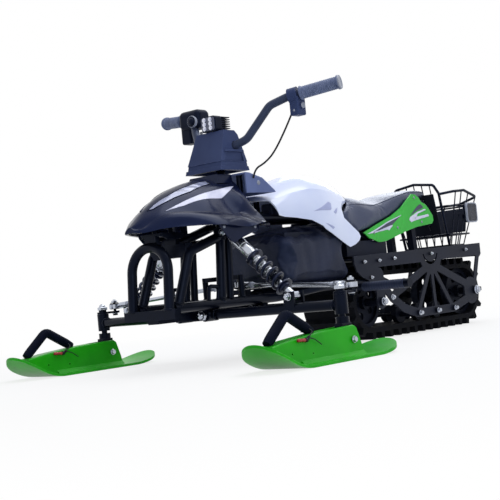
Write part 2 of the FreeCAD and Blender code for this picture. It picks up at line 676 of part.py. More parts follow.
def big_wheels(axle_x):
    r = TRACK_R - LUG_H - BELT_T - WHEEL_GAP
    z = TRACK_R
    parts = [rod((axle_x, -PLATE_Y - 14, z), (axle_x, PLATE_Y + 14, z), AXLE_R)]
    for s in (1, -1):
        rim = wheel(axle_x, z, r, *span(s, 46, 70)).cut(wheel(axle_x, z, r - 12, *span(s, 40, 80)))
        web = wheel(axle_x, z, r - 6, *span(s, 54, 61))
        for k in range(5):
            hole = wheel(0, 0, 12, *span(s, 50, 66))
            hole.translate(Vec(42, 0, 0))
            hole.rotate(Vec(0, 0, 0), Vec(0, 1, 0), k * 72)
            hole.translate(Vec(axle_x, 0, z))
            web = web.cut(hole)
        parts += [rim, web, wheel(axle_x, z, 20, *span(s, 40, 76))]
        inner = PLATE_Y - PLATE_T / 2 - GAP
        parts.append(rod((axle_x, s * 76, z), (axle_x, s * inner, z), 12))
        outer = PLATE_Y + PLATE_T / 2 + GAP
        parts.append(wheel(axle_x, z, 13, *span(s, outer, outer + 8)))
    return join(parts)


def lower_bogies():
    solids = []
    r = LOWER_AXLE_Z - LUG_H - BELT_T - WHEEL_GAP
    z = LOWER_AXLE_Z
    for x in LOWER_AXLES_X:
        parts = [rod((x, -PLATE_Y - 14, z), (x, PLATE_Y + 14, z), 5)]
        for s in (1, -1):
            parts.append(wheel(x, z, r, *span(s, 48, 66)))
            parts.append(wheel(x, z, 9, *span(s, 60, 127)))
            outer = PLATE_Y + PLATE_T / 2 + GAP
            parts.append(wheel(x, z, 9, *span(s, outer, outer + 6)))
        solids.append(join(parts))
    return Part.makeCompound(solids)


# Tunnel side plates

PLATE_BOLTS = ((-524, 232), (-600, 233), (-681, 236), (HUB_X, HUB_Z), (-1105, 247), (-553, 185))


def crescent(y0, y1):
    """Curved slot under the hub bolt."""
    outer = wheel(HUB_X, HUB_Z + 12, 46, y0, y1)
    inner = wheel(HUB_X, HUB_Z + 16, 41, y0, y1)
    return outer.cut(inner).cut(box(HUB_X - 80, HUB_X + 80, y0, y1, HUB_Z + 1, HUB_Z + 90))


def side_plate():
    y0 = PLATE_Y - PLATE_T / 2
    y1 = PLATE_Y + PLATE_T / 2
    top = [(-480, 250), (-1212, 266), (-1212, 228), (-820, 217), (-600, 214), (-598, 200), (-620, 180)]
    top += [(-600, 168), (-558, 172), (-510, 190), (-490, 206), (-481, 226)]
    parts = [plate_y(top, y0, y1)]
    hub = wheel(HUB_X, 238, 62, y0, y1).cut(box(-1000, -800, y0 - 1, y1 + 1, 258.5, 320))
    parts.append(hub)
    low_z = LOWER_AXLE_Z
    spokes = [((-659, 122), 12), ((LOWER_AXLES_X[0], low_z), 8), ((LOWER_AXLES_X[1], low_z), 7)]
    spokes += [((LOWER_AXLES_X[2], low_z), 8), ((-1105, 132), 12)]
    for z_end, half in spokes:
        parts.append(link_y((HUB_X, 210), z_end, half, y0, y1))
    low = [(-600, 176), (-659, 118), (-720, 82), (LOWER_AXLES_X[0], low_z), (LOWER_AXLES_X[1], low_z)]
    low += [(LOWER_AXLES_X[2], low_z), (-1090, 84)]
    for a, b in zip(low[:-1], low[1:]):
        parts.append(link_y(a, b, 13, y0, y1))
    parts.append(wheel(REAR_AXLE_X + 22, TRACK_R, 44, y0, y1))
    parts.append(link_y((-1198, 245), (-1154, 135), 9, y0, y1))
    parts.append(plate_y([(-1212, 245), (-1208, 225), (-1186, 212), (-1176, 226), (-1150, 232)], y0, y1))
    parts.append(link_y((-600, 190), (FRONT_AXLE_X, TRACK_R), 22, y0, y1))
    plate = join(parts)
    plate = plate.cut(crescent(y0 - 1, y1 + 1))
    for x, z in PLATE_BOLTS:
        plate = plate.cut(wheel(x, z, 4.5, y0 - 1, y1 + 1))
    for x in (FRONT_AXLE_X, REAR_AXLE_X):
        plate = plate.cut(wheel(x, TRACK_R, AXLE_R + SLIP, y0 - 1, y1 + 1))
    for x in LOWER_AXLES_X:
        plate = plate.cut(wheel(x, low_z, 5 + SLIP, y0 - 1, y1 + 1))
    return plate


def tunnel_deck():
    inner = PLATE_Y - PLATE_T / 2 - GAP
    parts = [box(-1195, -486, -inner, inner, DECK_Z, DECK_Z + 4)]
    for s in (1, -1):
        y0, y1 = span(s, inner - 4, inner)
        parts.append(box(-1195, -486, y0, y1, 222, DECK_Z + 4))
        for x, z in PLATE_BOLTS[:5]:
            a = s * (inner - 8)
            b = s * (PLATE_Y + PLATE_T / 2 + 5)
            parts.append(rod((x, a, z), (x, b, z), 4.5 - GAP))
            c = s * (PLATE_Y + PLATE_T / 2 + GAP)
            parts.append(rod((x, c, z), (x, s * (PLATE_Y + PLATE_T / 2 + 5.5), z), 5.4))
    return join(parts)


# Cowl: rows of (station, half section), half sections from the ridge out and down
# as (y, z); the fourth point is the crease above the flared edge.

COWL = (
    (262, ((0, 364), (5, 363), (8, 361), (11, 359), (15, 356), (18, 350))),
    (224, ((0, 393), (14, 390), (27, 383), (39, 374), (50, 366), (58, 352))),
    (187, ((0, 421), (24, 414), (45, 403), (62, 392), (82, 380), (97, 355))),
    (147, ((0, 444), (34, 434), (62, 415), (86, 394), (114, 381), (131, 354))),
    (112, ((0, 459), (42, 447), (76, 422), (102, 392), (132, 378), (152, 353))),
    (60, ((0, 475), (50, 461), (86, 428), (114, 388), (146, 374), (166, 349))),
    (0, ((0, 486), (56, 468), (94, 425), (121, 383), (152, 370), (174, 345))),
    (-75, ((0, 492), (60, 471), (97, 425), (128, 388), (150, 366), (168, 340))),
)
COWL_CREASE = 3
LENS = ((206, 12), (148, 24), (60, 34), (14, 38), (17, 55), (94, 55), (158, 38), (196, 24))


def inset_half(half, inset, drop):
    pts = []
    n = len(half)
    for i, (y, z) in enumerate(half):
        w = i / (n - 1)
        new_y = max(y - inset * (0.3 + 0.9 * w), 0) if y > 0 else 0
        sink = drop if i == n - 1 else 0
        pts.append((new_y, z - inset * (1 - w) - sink))
    return pts


def crease_section(x, half, crease):
    """Closed section with a sharp line at the crease point on both sides."""
    upper = [(x, y, z) for y, z in half[:crease + 1]]
    lower = [(x, y, z) for y, z in half[crease:]]
    mirror_lower = [(x, -y, z) for x, y, z in reversed(lower)]
    crown = [(x, -y, z) for x, y, z in reversed(upper[1:])] + upper
    closing = Part.LineSegment(Vec(*lower[-1]), Vec(*mirror_lower[0])).toShape()
    return Part.Wire([smooth(mirror_lower), smooth(crown), smooth(lower), closing])


def skin_solid(table, crease, inset, drop):
    wires = [crease_section(x, inset_half(half, inset, drop), crease) for x, half in table]
    return loft(wires)


def cowl_skin():
    outer = skin_solid(COWL, COWL_CREASE, 0, 0)
    inner = skin_solid(COWL, COWL_CREASE, SHELL_T, 30)
    inner.translate(Vec(-5, 0, -0.5))
    return outer.cut(inner)


def lens_prism(grow):
    wire = Part.makePolygon([Vec(x, y, 340) for x, y in LENS + LENS[:1]])
    if grow:
        wire = wire.makeOffset2D(grow)
    return Part.Face(wire).extrude(Vec(0, 0, 200))


def lower_flap(s):
    """Side panel below the flared edge, in front of the shock absorber."""
    pts = [(96, 358), (92, 346), (58, 312), (44, 305), (30, 313), (-52, 338), (-56, 352)]
    y0, y1 = span(s, 146, 149.5)
    return plate_y(pts, y0, y1)


def column_hole(r):
    return Part.makeCylinder(r, 300, Vec(*column_point(330)), column_axis)


def front_cowl():
    shell = cowl_skin()
    flaps = [lower_flap(s).fuse(flap_web(s)) for s in (1, -1)]
    window = lens_prism(GAP)
    shell = shell.cut(window).cut(mirrored(window))
    body = join([shell, cowl_neck()] + flaps)
    return body.cut(column_hole(26))


def cowl_neck():
    """Low collar on the cowl, under the pod."""
    outer = loft([plate_ring(-74.5, -12, 57, 470), plate_ring(-74.5, -22, 50, NECK_TOP_Z)], True)
    inner = loft([plate_ring(-80, -16, 53, 469), plate_ring(-80, -26, 46, NECK_TOP_Z - 4)], True)
    under = skin_solid(COWL, COWL_CREASE, SHELL_T, 30)
    under.translate(Vec(-5, 0, -0.5))
    return outer.cut(inner).cut(under)


def flap_web(s):
    """Strip that joins the side panel to the inside of the flared edge."""
    solid = skin_solid(COWL, COWL_CREASE, 1.0, 0)
    y0, y1 = span(s, 138, 149.5)
    strip = plate_y([(96, 390), (96, 352), (-56, 348), (-56, 390)], y0, y1)
    y2, y3 = span(s, 130, 146)
    strip = strip.cut(plate_y([(98, 394), (98, 340), (-58, 340), (-58, 394)], y2, y3))
    return strip.common(solid)


def headlight_lenses():
    return both(cowl_skin().common(lens_prism(0)))


def plate_ring(x0, x1, half, z):
    pts = [Vec(x0, -half, z), Vec(x1, -half, z), Vec(x1, half, z), Vec(x0, half, z), Vec(x0, -half, z)]
    return Part.makePolygon(pts)


def pod():
    z0 = POD_BASE_Z
    outer = loft([plate_ring(-137, -22, 65, z0), plate_ring(-135, -25, 64, z0 + 11)], True)
    band = loft([plate_ring(-134, -29, 61.5, z0 + 11), plate_ring(-133, -32, 60.5, z0 + 24)], True)
    upper = loft([plate_ring(-134, -30, 62, z0 + 24), plate_ring(-114, -64, 50, POD_TOP_Z)], True)
    body = outer.fuse(band).fuse(upper)
    side = [(-122, z0 + 25), (-44, z0 + 25), (-56, z0 + 50), (-118, z0 + 50)]
    for s in (1, -1):
        y0, y1 = span(s, 50, 80)
        pocket = plate_y(side, y0, y1)
        pocket = pocket.cut(side_plan([(-200, z0), (20, z0), (20, POD_TOP_Z), (-200, POD_TOP_Z)], 56.5))
        body = body.cut(pocket)
        y2, y3 = span(s, 52, 62.5)
        pad = [(-124, z0 + 50), (-48, z0 + 50), (-52, z0 + 56), (-122, z0 + 56)]
        body = body.fuse(plate_y(pad, y2, y3))
    body = body.removeSplitter()
    hollow = loft([plate_ring(-130, -36, 52.5, z0 - 1), plate_ring(-122.5, -47, 52.5, z0 + 56)], True)
    inner = [plate_ring(-122.5, -47, 52.5, z0 + 56), plate_ring(-110, -68, 46, POD_TOP_Z - 4)]
    hollow = hollow.fuse(loft(inner, True))
    rear = plate_y([(-122, 598), (-82.5, 640), (-122, 640)], -70, 70)
    body = body.cut(rear)
    rear.translate(Vec(3.5, 0, -3.5))
    hollow = hollow.cut(rear)
    return body.cut(hollow).cut(bar_tube(BAR_R + 1.5)).removeSplitter()


def dash_console():
    side = [(-75.5, 494), (-101, 493.5), (-147, 482), (-193, 450), (-194, 441), (-75.5, 439)]
    body = plate_y(side, -101, 101)
    level = [e for e in body.Edges if e.BoundBox.YLength < 1 and e.BoundBox.ZMin > 448]
    corner = [e for e in level if e.BoundBox.XMax < -76]
    body = body.makeFillet(7.0, corner)
    inner = [(-70, 490), (-101, 489.5), (-145, 478), (-189.5, 447), (-189.5, 430), (-70, 430)]
    body = body.cut(plate_y(inner, -97, 97))
    return body.cut(column_hole(26))


# Tank: rows as for the cowl, the third point is the crease at the shoulder.

TANK = (
    (-112, ((0, 430), (34, 429), (60, 425), (74, 419), (84, 410))),
    (-186, ((0, 436), (52, 432), (86, 421), (104, 400), (110, 366))),
    (-240, ((0, 462), (58, 454), (98, 434), (114, 402), (118, 362))),
    (-300, ((0, 484), (64, 473), (106, 446), (119, 405), (122, 356))),
    (-350, ((0, 498), (68, 484), (110, 450), (122, 400), (126, 342))),
    (-420, ((0, 499), (66, 482), (106, 442), (121, 386), (127, 308))),
    (-495, ((0, 489), (56, 469), (93, 426), (115, 364), (127, 272))),
    (-560, ((0, 468), (47, 443), (80, 398), (108, 343), (126, 262))),
    (-640, ((0, 420), (36, 402), (64, 366), (100, 322), (124, 254))),
)
TANK_CREASE = 2
TANK_SIDE = [(-110, 424), (-182, 418), (-189, 373), (-252, 368), (-315, 360), (-361, 342), (-390, 317)]
TANK_SIDE += [(-419, 288), (-447, 278), (-473, 277), (-507, 286), (-530, 297), (-542, 308), (-537, 320)]
TANK_SIDE += [(-472, 364), (-472, 530), (-110, 530)]
TONGUE = ((-636, 0), (-626, 18), (-602, 37), (-562, 64), (-527, 85), (-495, 99), (-470, 112))


def tank_keep():
    """Space that the tank shell may fill: its side outline and the tongue at the rear."""
    plan = list(TONGUE) + [(-470, -112)] + [(x, -y) for x, y in reversed(TONGUE[1:-1])]
    tongue = plate_z(plan, 363, 530)
    return side_plan(TANK_SIDE, 150).fuse(tongue)


def tank_shell():
    outer = skin_solid(TANK, TANK_CREASE, 0, 0)
    inner = skin_solid(TANK, TANK_CREASE, SHELL_T, 60)
    shell = outer.cut(inner)
    shell = shell.cut(box(-700, -500, -80, 80, 200, 363))
    shell = shell.common(tank_keep())
    solids = sorted(shell.Solids, key=lambda s: -s.Volume)
    return solids[0].cut(column_hole(26))


def tank_block(grow):
    """Solid envelope of the tank for cutting its neighbours."""
    table = [(x, [(y + grow if i else 0, z + grow) for i, (y, z) in enumerate(half)]) for x, half in TANK]
    wires = [crease_section(x, half, TANK_CREASE) for x, half in table]
    plan = [(x - grow, y) for x, y in TONGUE]
    plan = plan + [(-470 - grow, -112)] + [(x, -y) for x, y in reversed(plan[1:-1])]
    side = [(x - grow if x < -470 else x, z - grow if z < 400 else z) for x, z in TANK_SIDE]
    side = [(x, z + 3 * grow if (x, z) == (-472 - grow, 364 - grow) else z) for x, z in side]
    keep = side_plan(side, 150).fuse(plate_z(plan, 362, 530))
    return loft(wires).common(keep)


def wiring_block():
    body = box(-250, -190, 48, 84, 382, 412)
    top = [e for e in body.Edges if e.BoundBox.ZMin > 400 or e.BoundBox.ZLength > 30]
    body = body.makeFillet(4.0, top)
    rail = rod((-400, FRAME_Y, TOP_RAIL_Z), (-160, FRAME_Y, TOP_RAIL_Z), TUBE_R + GAP)
    return body.cut(rail)


def battery_cover():
    outer = loft([cover_ring(0, COVER_Z0), cover_ring(7, COVER_Z1)], True)
    outer = outer.makeFillet(20, rising_edges(outer))
    inner = loft([cover_ring(4, COVER_Z0 - 1), cover_ring(11, COVER_Z1 - 4)], True)
    inner = inner.makeFillet(16, rising_edges(inner))
    return outer.cut(inner)


def rising_edges(shape):
    low = shape.BoundBox.ZMin
    return [e for e in shape.Edges if e.BoundBox.ZMax > low + 1]


def cover_ring(inset, z):
    pts = plate_ring(COVER_X0 + inset, COVER_X1 - inset, COVER_HALF - inset, z)
    return pts


def power_block():
    return box(COVER_X0 + 24, COVER_X1 - 24, -COVER_HALF + 24, COVER_HALF - 24, COVER_Z0, COVER_Z1 - 24)


# Seat rows: station, half width, height of the lower edge, height of the middle.

SEAT = (
    (-476, 104, 330, 438),
    (-540, 104, 318, 438),
    (-600, 102, 326, 437),
    (-656, 101, 342, 424),
    (-724, 100, 362, 417),
    (-800, 99, 388, 438),
    (-868, 97, 414, 449),
    (-912, 92, 426, 454),
    (-969, 82, 432, 455),
    (-1006, 66, 434, 451),
    (-1022, 46, 436, 446),
)


def seat_section(x, half, low, high, drop):
    edge = low - drop
    rise = high - low
    pts = [(0, high), (half * 0.5, high - 0.06 * rise), (half * 0.85, high - 0.3 * rise)]
    pts += [(half * 0.985, high - 0.66 * rise), (half, low), (half - 3, edge)]
    return crease_section(x, pts, 4)


def seat():
    body = loft([seat_section(x, half, low, high, 6.0) for x, half, low, high in SEAT])
    body = body.cut(tank_block(GAP))
    for s in (1, -1):
        body = body.cut(tail_panel_space(s)).cut(upper_rail(s, TUBE_R + GAP))
    body = body.cut(seat_base_space())
    solids = sorted(body.Solids, key=lambda part: -part.Volume)
    return solids[0]


TAIL = [(-588, 320), (-612, 304), (-663, 289), (-700, 291), (-815, 318), (-882, 331)]
TAIL += [(-974, 340), (-984, 350)]
TAIL += [(-982, 366), (-960, 390), (-945, 402), (-920, 411), (-908, 424), (-890, 434), (-868, 436)]
TAIL += [(-800, 392), (-744, 368), (-656, 342)]
TAIL_Y0 = 97.0
TAIL_Y1 = 101.5


def tail_panel(s):
    y0, y1 = span(s, TAIL_Y0, TAIL_Y1)
    return plate_y(TAIL, y0, y1)


def tail_panel_space(s):
    y0, y1 = span(s, TAIL_Y0 - GAP, TAIL_Y1 + 20)
    grown = Part.makePolygon([Vec(x, y0, z) for x, z in TAIL + TAIL[:1]]).makeOffset2D(GAP)
    return Part.Face(grown).extrude(Vec(0, y1 - y0, 0))


def tail_panels():
    parts = []
    for s in (1, -1):
        panel = tail_panel(s)
        y0, y1 = span(s, 60, TAIL_Y0)
        outline = [(-905, 417), (-940, 397), (-978, 357), (-974, 352), (-936, 391), (-903, 412)]
        rib = plate_y(outline, y0, y1)
        parts.append(panel.fuse(rib).removeSplitter())
    return Part.makeCompound(parts)


BASE_TOP = [(-600, 322), (-656, 334), (-724, 354), (-800, 379), (-868, 404), (-960, 418), (-1000, 422)]


def seat_base_space():
    low = [(x, z + GAP) for x, z in BASE_TOP]
    return side_plan(low + [(-1030, 422), (-1030, 300), (-560, 300), (-560, 317)], 200)


def seat_base():
    under = [(-1000, 408), (-968, 402), (-960, 352), (-840, 330), (-700, 300), (-610, 306)]
    parts = [side_plan(BASE_TOP + under, 58)]
    parts.append(box(-712, -506, -92, 92, 252, 296))
    parts.append(box(-700, -560, -52, 52, 246, 312))
    for x in (-640, -760, -880):
        z = 310 if x > -700 else 330
        parts.append(box(x - 8, x + 8, -TAIL_Y0 + GAP, TAIL_Y0 - GAP, z, z + 14))
    for s in (1, -1):
        y0, y1 = span(s, 30, 52)
        foot = DECK_Z + 4 + GAP
        parts.append(plate_y([(-930, foot), (-952, foot), (-944, 372), (-922, 372)], y0, y1))
        parts.append(plate_y([(-742, foot), (-764, foot), (-764, 336), (-742, 336)], y0, y1))
    z0, z1 = 344, 358
    parts.append(plate_y([(-940, z0), (plate_front(z0), z0), (plate_front(z1), z1), (-940, z1)], -26, 26))
    body = join(parts)
    for s in (1, -1):
        body = body.cut(upper_rail(s, TUBE_R + GAP))
    return body


def upper_rail(s, r):
    y = s * FRAME_Y
    side = [(184, y, LOWER_RAIL_Z), (DOWN_BEND_X, y, DOWN_BEND_Z), (TOP_RAIL_FRONT_X, y, TOP_RAIL_Z)]
    side += [(TOP_RAIL_REAR_X, y, TOP_RAIL_Z), (RAIL_FOOT_X, y, RAIL_FOOT_Z), (RAIL_FOOT_X - 4, y, DECK_Z)]
    return tube(side, r, 30)


# Basket

ARCH_FOOT = (-1096.0, 86.0, 262.0)
ARCH_TOP_X = -1047.0
WIRE_LEAN = 45.0 / 202.0


def wire_x(z):
    """Station of the upright wires at the front of the basket."""
    return -1092.0 + WIRE_LEAN * (z - 266.0)


def plate_front(z):
    return wire_x(z) + (THIN_R + GAP) / math.cos(math.atan(WIRE_LEAN)) + 4.0 + 2 * GAP


def loop(points, r):
    parts = []
    closed = points + points[:1]
    for a, b in zip(closed[:-1], closed[1:]):
        parts.append(rod(a, b, r))
        parts.append(ball(b, r))
    return parts


def basket():
    fx, fy, fz = ARCH_FOOT
    arch = [(fx, -fy, fz), (-1052, -90, 440), (-1048, -74, 470), (ARCH_TOP_X, 0, 480)]
    arch += [(-1048, 74, 470), (-1052, 90, 440), (fx, fy, fz)]
    parts = [tube(arch, RIM_R, 14)]
    parts += loop([(-1092, -84, 266), (-1092, 84, 266), (-1190, 84, 266), (-1190, -84, 266)], WIRE_R)
    parts += loop([(-1083, -97, 302), (-1083, 97, 302), (-1203, 101, 302), (-1203, -101, 302)], WIRE_R)
    parts += loop([(-1065, -110, 396), (-1065, 110, 396), (-1224, 118, 396), (-1224, -118, 396)], WIRE_R)
    half = [(-1052, 88, 437), (-1092, 120, 443), (-1150, 128, 446), (-1228, 127, 424), (-1231, 60, 405)]
    parts.append(tube(half + [(x, -y, z) for x, y, z in reversed(half)], RIM_R, 14))
    for y in (-60, -30, 0, 30, 60):
        top = 478 - abs(y) * 0.12
        parts.append(rod((wire_x(266), y, 266), (wire_x(top), y, top), THIN_R))
        parts.append(rod((-1190, y, 266), (-1231, y * 1.3, 405 + abs(y) * 0.08), THIN_R))
        parts.append(rod((-1092, y, 266), (-1190, y, 266), THIN_R))
    for s in (1, -1):
        stays = [(-1110, -1100, 443), (-1136, -1138, 445), (-1160, -1180, 438), (-1190, -1226, 424)]
        for x0, x1, z1 in stays:
            parts.append(rod((x0, s * 84, 266), (x1, s * 126, z1), THIN_R))
        y0, y1 = span(s, 104, 124.7)
        parts.append(box(-1184, -1166, y0, y1, 352, 366))
    for z in (-1116, -1141, -1166):
        parts.append(rod((z, -84, 266), (z, 84, 266), THIN_R))
    return join(parts)


def basket_plate():
    z0, z1 = 306, 440
    step = (THIN_R + GAP) / math.cos(math.atan(WIRE_LEAN))
    outline = [(wire_x(z0) + step, z0), (wire_x(z0) + step + 4, z0)]
    outline += [(wire_x(z1) + step + 4, z1), (wire_x(z1) + step, z1)]
    plate = plate_y(outline, -58, 70)
    for y in (-30, 32):
        for z in (330, 362, 394, 420):
            plate = plate.cut(box(-1100, -1030, y - 3, y + 3, z - 9, z + 9))
    x0 = -1192.0
    lean = -41.0 / 139.0
    sheet = [(x0 + lean * (z - 266) + 6.6, z) for z in (309, 390)]
    sheet += [(x + 3.0, z) for x, z in reversed(sheet)]
    liner = plate_y(sheet, -92, 92)
    return Part.makeCompound([plate, liner])


def reflectors():
    body = box(-1208, -1142, 125, 137, 337, 403)
    upright = [e for e in body.Edges if e.BoundBox.YLength > 10]
    body = body.makeFillet(12, upright)
    return both(body)


def footpeg(s):
    bar = rod((-500, s * 104, 160), (-500, s * 300, 160), 11)
    tip = rod((-500, s * 286, 160), (-500, s * 302, 160), 13)
    return bar.fuse(tip).cut(lower_rail(s, TUBE_R))


def left_switch():
    a = Vec(-184.4, 196, 686.5)
    d = Vec(*GRIP_OUT).sub(Vec(*BAR_END_BEND)).normalize()
    clamp = Part.makeCylinder(20.5, 26, a.sub(d * 8), d)
    block = box(-212, -176, 190, 220, 632, 682)
    upright = [e for e in block.Edges if e.BoundBox.ZLength > 30 or e.BoundBox.ZMax < 640]
    block = block.makeFillet(5, upright)
    key = rod((-194, 218, 657), (-194, 223.5, 657), 9)
    body = join([clamp, block, key])
    body = body.cut(bar_tube(BAR_R + GAP))
    near = Vec(*GRIP_IN)
    return body.cut(Part.makeCylinder(GRIP_R + 2.5 + GAP, 60, near.sub(d * GAP), d))


def throttle_housing():
    main = box(-188, -134, -184, -104, 650, 705)
    main = main.makeFillet(15, main.Edges)
    low = box(-180, -142, -184, -146, 612, 672)
    low = low.makeFillet(6, low.Edges)
    dome = rod((-136, -126, 670), (-128, -126, 670), 15)
    cap = ball((-134, -126, 670), 13)
    body = join([main, low, dome, cap])
    body = body.cut(bar_tube(BAR_R + GAP))
    near = Vec(GRIP_IN[0], -GRIP_IN[1], GRIP_IN[2])
    bend = Vec(BAR_END_BEND[0], -BAR_END_BEND[1], BAR_END_BEND[2])
    d = near.sub(bend).normalize()
    return body.cut(Part.makeCylinder(GRIP_R + 2.5 + GAP, 60, near.sub(d * GAP), d))


LAMP_Z = 637.5
LAMP_HALF_Z = 21.0


def work_lamp():
    z = LAMP_Z
    head = box(-86, -62, -26, 26, z - LAMP_HALF_Z, z + LAMP_HALF_Z)
    head = head.makeFillet(8, [e for e in head.Edges if e.BoundBox.XLength > 20])
    parts = [head, box(-112, -84, -15, 15, z - 17, z + 17)]
    for k in range(7):
        fz = z - 18 + 6 * k
        parts.append(box(-124, -84, -22, 22, fz - 1.2, fz + 1.2))
    parts.append(box(-100, -92, -10, 10, POD_TOP_Z + GAP, z - 16))
    return join(parts)


def work_lamp_lens():
    z = LAMP_Z
    lens = box(-62 + GAP, -58, -23, 23, z - 18, z + 18)
    level = [e for e in lens.Edges if e.BoundBox.ZLength < 1]
    return lens.makeFillet(6, [e for e in level if 3 < e.BoundBox.XLength < 4])


def cable():
    pts = [(-188, 187, 640), (-172, 178, 608), (-143, 152, 540), (-130, 126, 515), (-112, 104, 502)]
    pts.append((-104, 101 + 3, 478))
    return tube(pts, 2.5, 14)


cowl = front_cowl()
console = dash_console()
tank = tank_shell()

save(ski_body(STANCE), "ski_left")
save(ski_body(-STANCE), "ski_right")
save(ski_grip(STANCE), "ski_handle_left")
save(ski_grip(-STANCE), "ski_handle_right")
save(spindle(STANCE), "spindle_left")
save(spindle(-STANCE), "spindle_right")
save(both(lower_arm()), "lower_arms")
save(both(damper()), "shock_dampers")
save(both(spring()), "shock_springs")
save(lower_frame(), "lower_frame")
save(upper_frame(), "upper_frame")
save(front_hoop(), "front_hoop")
save(nose_bracket(), "nose_bracket")
save(steering_column(), "steering_column")
save(tie_rod(1), "tie_rod_left")
save(tie_rod(-1), "tie_rod_right")
save(bar_tube(BAR_R), "handlebar")
save(both(grips()), "grips")
save(pod(), "handlebar_pod")
save(left_switch(), "left_switch")
save(throttle_housing(), "throttle_housing")
save(work_lamp(), "work_lamp")
save(work_lamp_lens(), "work_lamp_lens")
save(cable(), "switch_cable")
save(track(), "track")
save(big_wheels(REAR_AXLE_X), "rear_idler")
save(big_wheels(FRONT_AXLE_X), "drive_sprocket")
save(lower_bogies(), "lower_bogies")
save(both(side_plate()), "side_plates")
save(tunnel_deck(), "tunnel_deck")
save(cowl, "front_cowl")
save(headlight_lenses(), "headlight_lenses")
save(console, "dash_console")
save(tank, "tank_shell")
save(wiring_block(), "wiring_block")
save(battery_cover(), "battery_cover")
save(power_block(), "battery_motor_block")
save(seat(), "seat")
save(tail_panels(), "tail_panels")
save(seat_base(), "seat_base")
save(basket(), "basket")
save(basket_plate(), "basket_plate")
save(reflectors(), "side_reflectors")
save(Part.makeCompound([footpeg(1), footpeg(-1)]), "footpegs")
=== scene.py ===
# %% [markdown]
# # A youth snowmobile, dressed in Blender
# The tubes, plates, wheels and shells of this machine come ready from CAD, with real sizes and
# working joints. This file gives them their finishes, and builds what CAD leaves plain: vinyl,
# foam, rubber, wires, nuts and lamps. Load the CAD first, because all the rest is placed by it.

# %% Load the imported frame
import math

import bmesh
import bpy
from mathutils import Matrix, Vector, noise
from mathutils.bvhtree import BVHTree


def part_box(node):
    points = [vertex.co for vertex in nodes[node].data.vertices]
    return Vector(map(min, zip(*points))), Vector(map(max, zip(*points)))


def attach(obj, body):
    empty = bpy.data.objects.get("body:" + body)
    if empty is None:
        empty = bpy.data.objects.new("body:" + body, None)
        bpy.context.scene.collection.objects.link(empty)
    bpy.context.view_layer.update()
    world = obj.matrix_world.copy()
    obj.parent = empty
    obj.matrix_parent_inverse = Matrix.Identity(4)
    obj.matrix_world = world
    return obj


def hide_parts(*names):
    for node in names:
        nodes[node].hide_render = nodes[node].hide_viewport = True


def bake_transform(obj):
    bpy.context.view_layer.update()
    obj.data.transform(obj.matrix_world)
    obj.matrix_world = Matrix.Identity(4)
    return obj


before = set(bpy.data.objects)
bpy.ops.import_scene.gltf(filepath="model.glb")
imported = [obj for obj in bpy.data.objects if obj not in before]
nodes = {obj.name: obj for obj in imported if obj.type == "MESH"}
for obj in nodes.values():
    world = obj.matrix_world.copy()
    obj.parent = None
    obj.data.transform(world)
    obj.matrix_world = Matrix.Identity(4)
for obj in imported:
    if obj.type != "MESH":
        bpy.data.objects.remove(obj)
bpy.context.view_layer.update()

# %% [markdown]
# ## One ruler for everything
# The CAD measures in millimetres from the line through the two kingpins. Blender works in metres
# from the middle of the machine. One helper turns the first into the second, so that each number
# below can be compared with a drawing of the real vehicle. Its twin mirrors a point to the right.

# %% From workshop millimetres to the scene
KINGPIN_X = 0.4635
MM = 0.001
STANCE = 427.0
SIDES = ((1, "left"), (-1, "right"))
FORWARD = Vector((1, 0, 0))
UPWARD = Vector((0, 0, 1))


def at(x, y, z):
    """A point in millimetres from the kingpin line, as a place in the scene."""
    return Vector((x * MM + KINGPIN_X, y * MM, z * MM))


def on_side(spot, side):
    """A point given for the left half (side 1), or its mirror image on the right (side -1)."""
    return at(spot[0], side * spot[1], spot[2])


print("left kingpin stands at", tuple(round(v, 3) for v in at(0, STANCE, 130)))

# %% [markdown]
# ## Camera
# A low, long lens looks at the front left corner from about two and a half metres, slightly tilted.
# Its place and its two directions were fitted to known points of the frame, so they are written
# out as they are: a look-at constraint would lose the tilt.

# %% Camera
FOCAL_PIXELS = 1102.0
PICTURE_PIXELS = 500.0
SENSOR_MM = 36.0
CAMERA_SPOT = (2115.04, 1997.64, 186.82)
LOOKS_ALONG = (-0.7540, -0.65595, 0.03478)
TOP_OF_PICTURE = (-0.03742, 0.09576, 0.99470)
ahead = Vector(LOOKS_ALONG).normalized()
sideways = ahead.cross(Vector(TOP_OF_PICTURE)).normalized()
upward = sideways.cross(ahead)
lens = bpy.data.cameras.new("camera")
lens.sensor_width = SENSOR_MM
lens.lens = FOCAL_PIXELS / PICTURE_PIXELS * SENSOR_MM
lens.clip_start = 0.05
camera = bpy.data.objects.new("camera", lens)
camera.matrix_world = Matrix((sideways, upward, -ahead)).transposed().to_4x4()
camera.location = at(*CAMERA_SPOT)
bpy.context.scene.collection.objects.link(camera)
bpy.context.scene.camera = camera
print("lens", round(lens.lens, 1), "mm")

# %% [markdown]
# ## Node trees in few words
# A material is a small tree of nodes. A few helpers keep it readable: one adds a node and wires its
# inputs by name, one starts a reusable group whose sockets carry plain names, and the short ones
# after them are the clouds, sums and products that come back in every effect.

# %% Helpers for node trees
def add_node(tree, kind, inputs=None, **settings):
    """Adds a node; each input is a number, a colour or the socket that feeds it."""
    made = tree.nodes.new(kind)
    for key, value in settings.items():
        setattr(made, key, value)
    for key, value in (inputs or {}).items():
        if isinstance(value, bpy.types.NodeSocket):
            tree.links.new(value, made.inputs[key])
        else:
            made.inputs[key].default_value = value
    return made


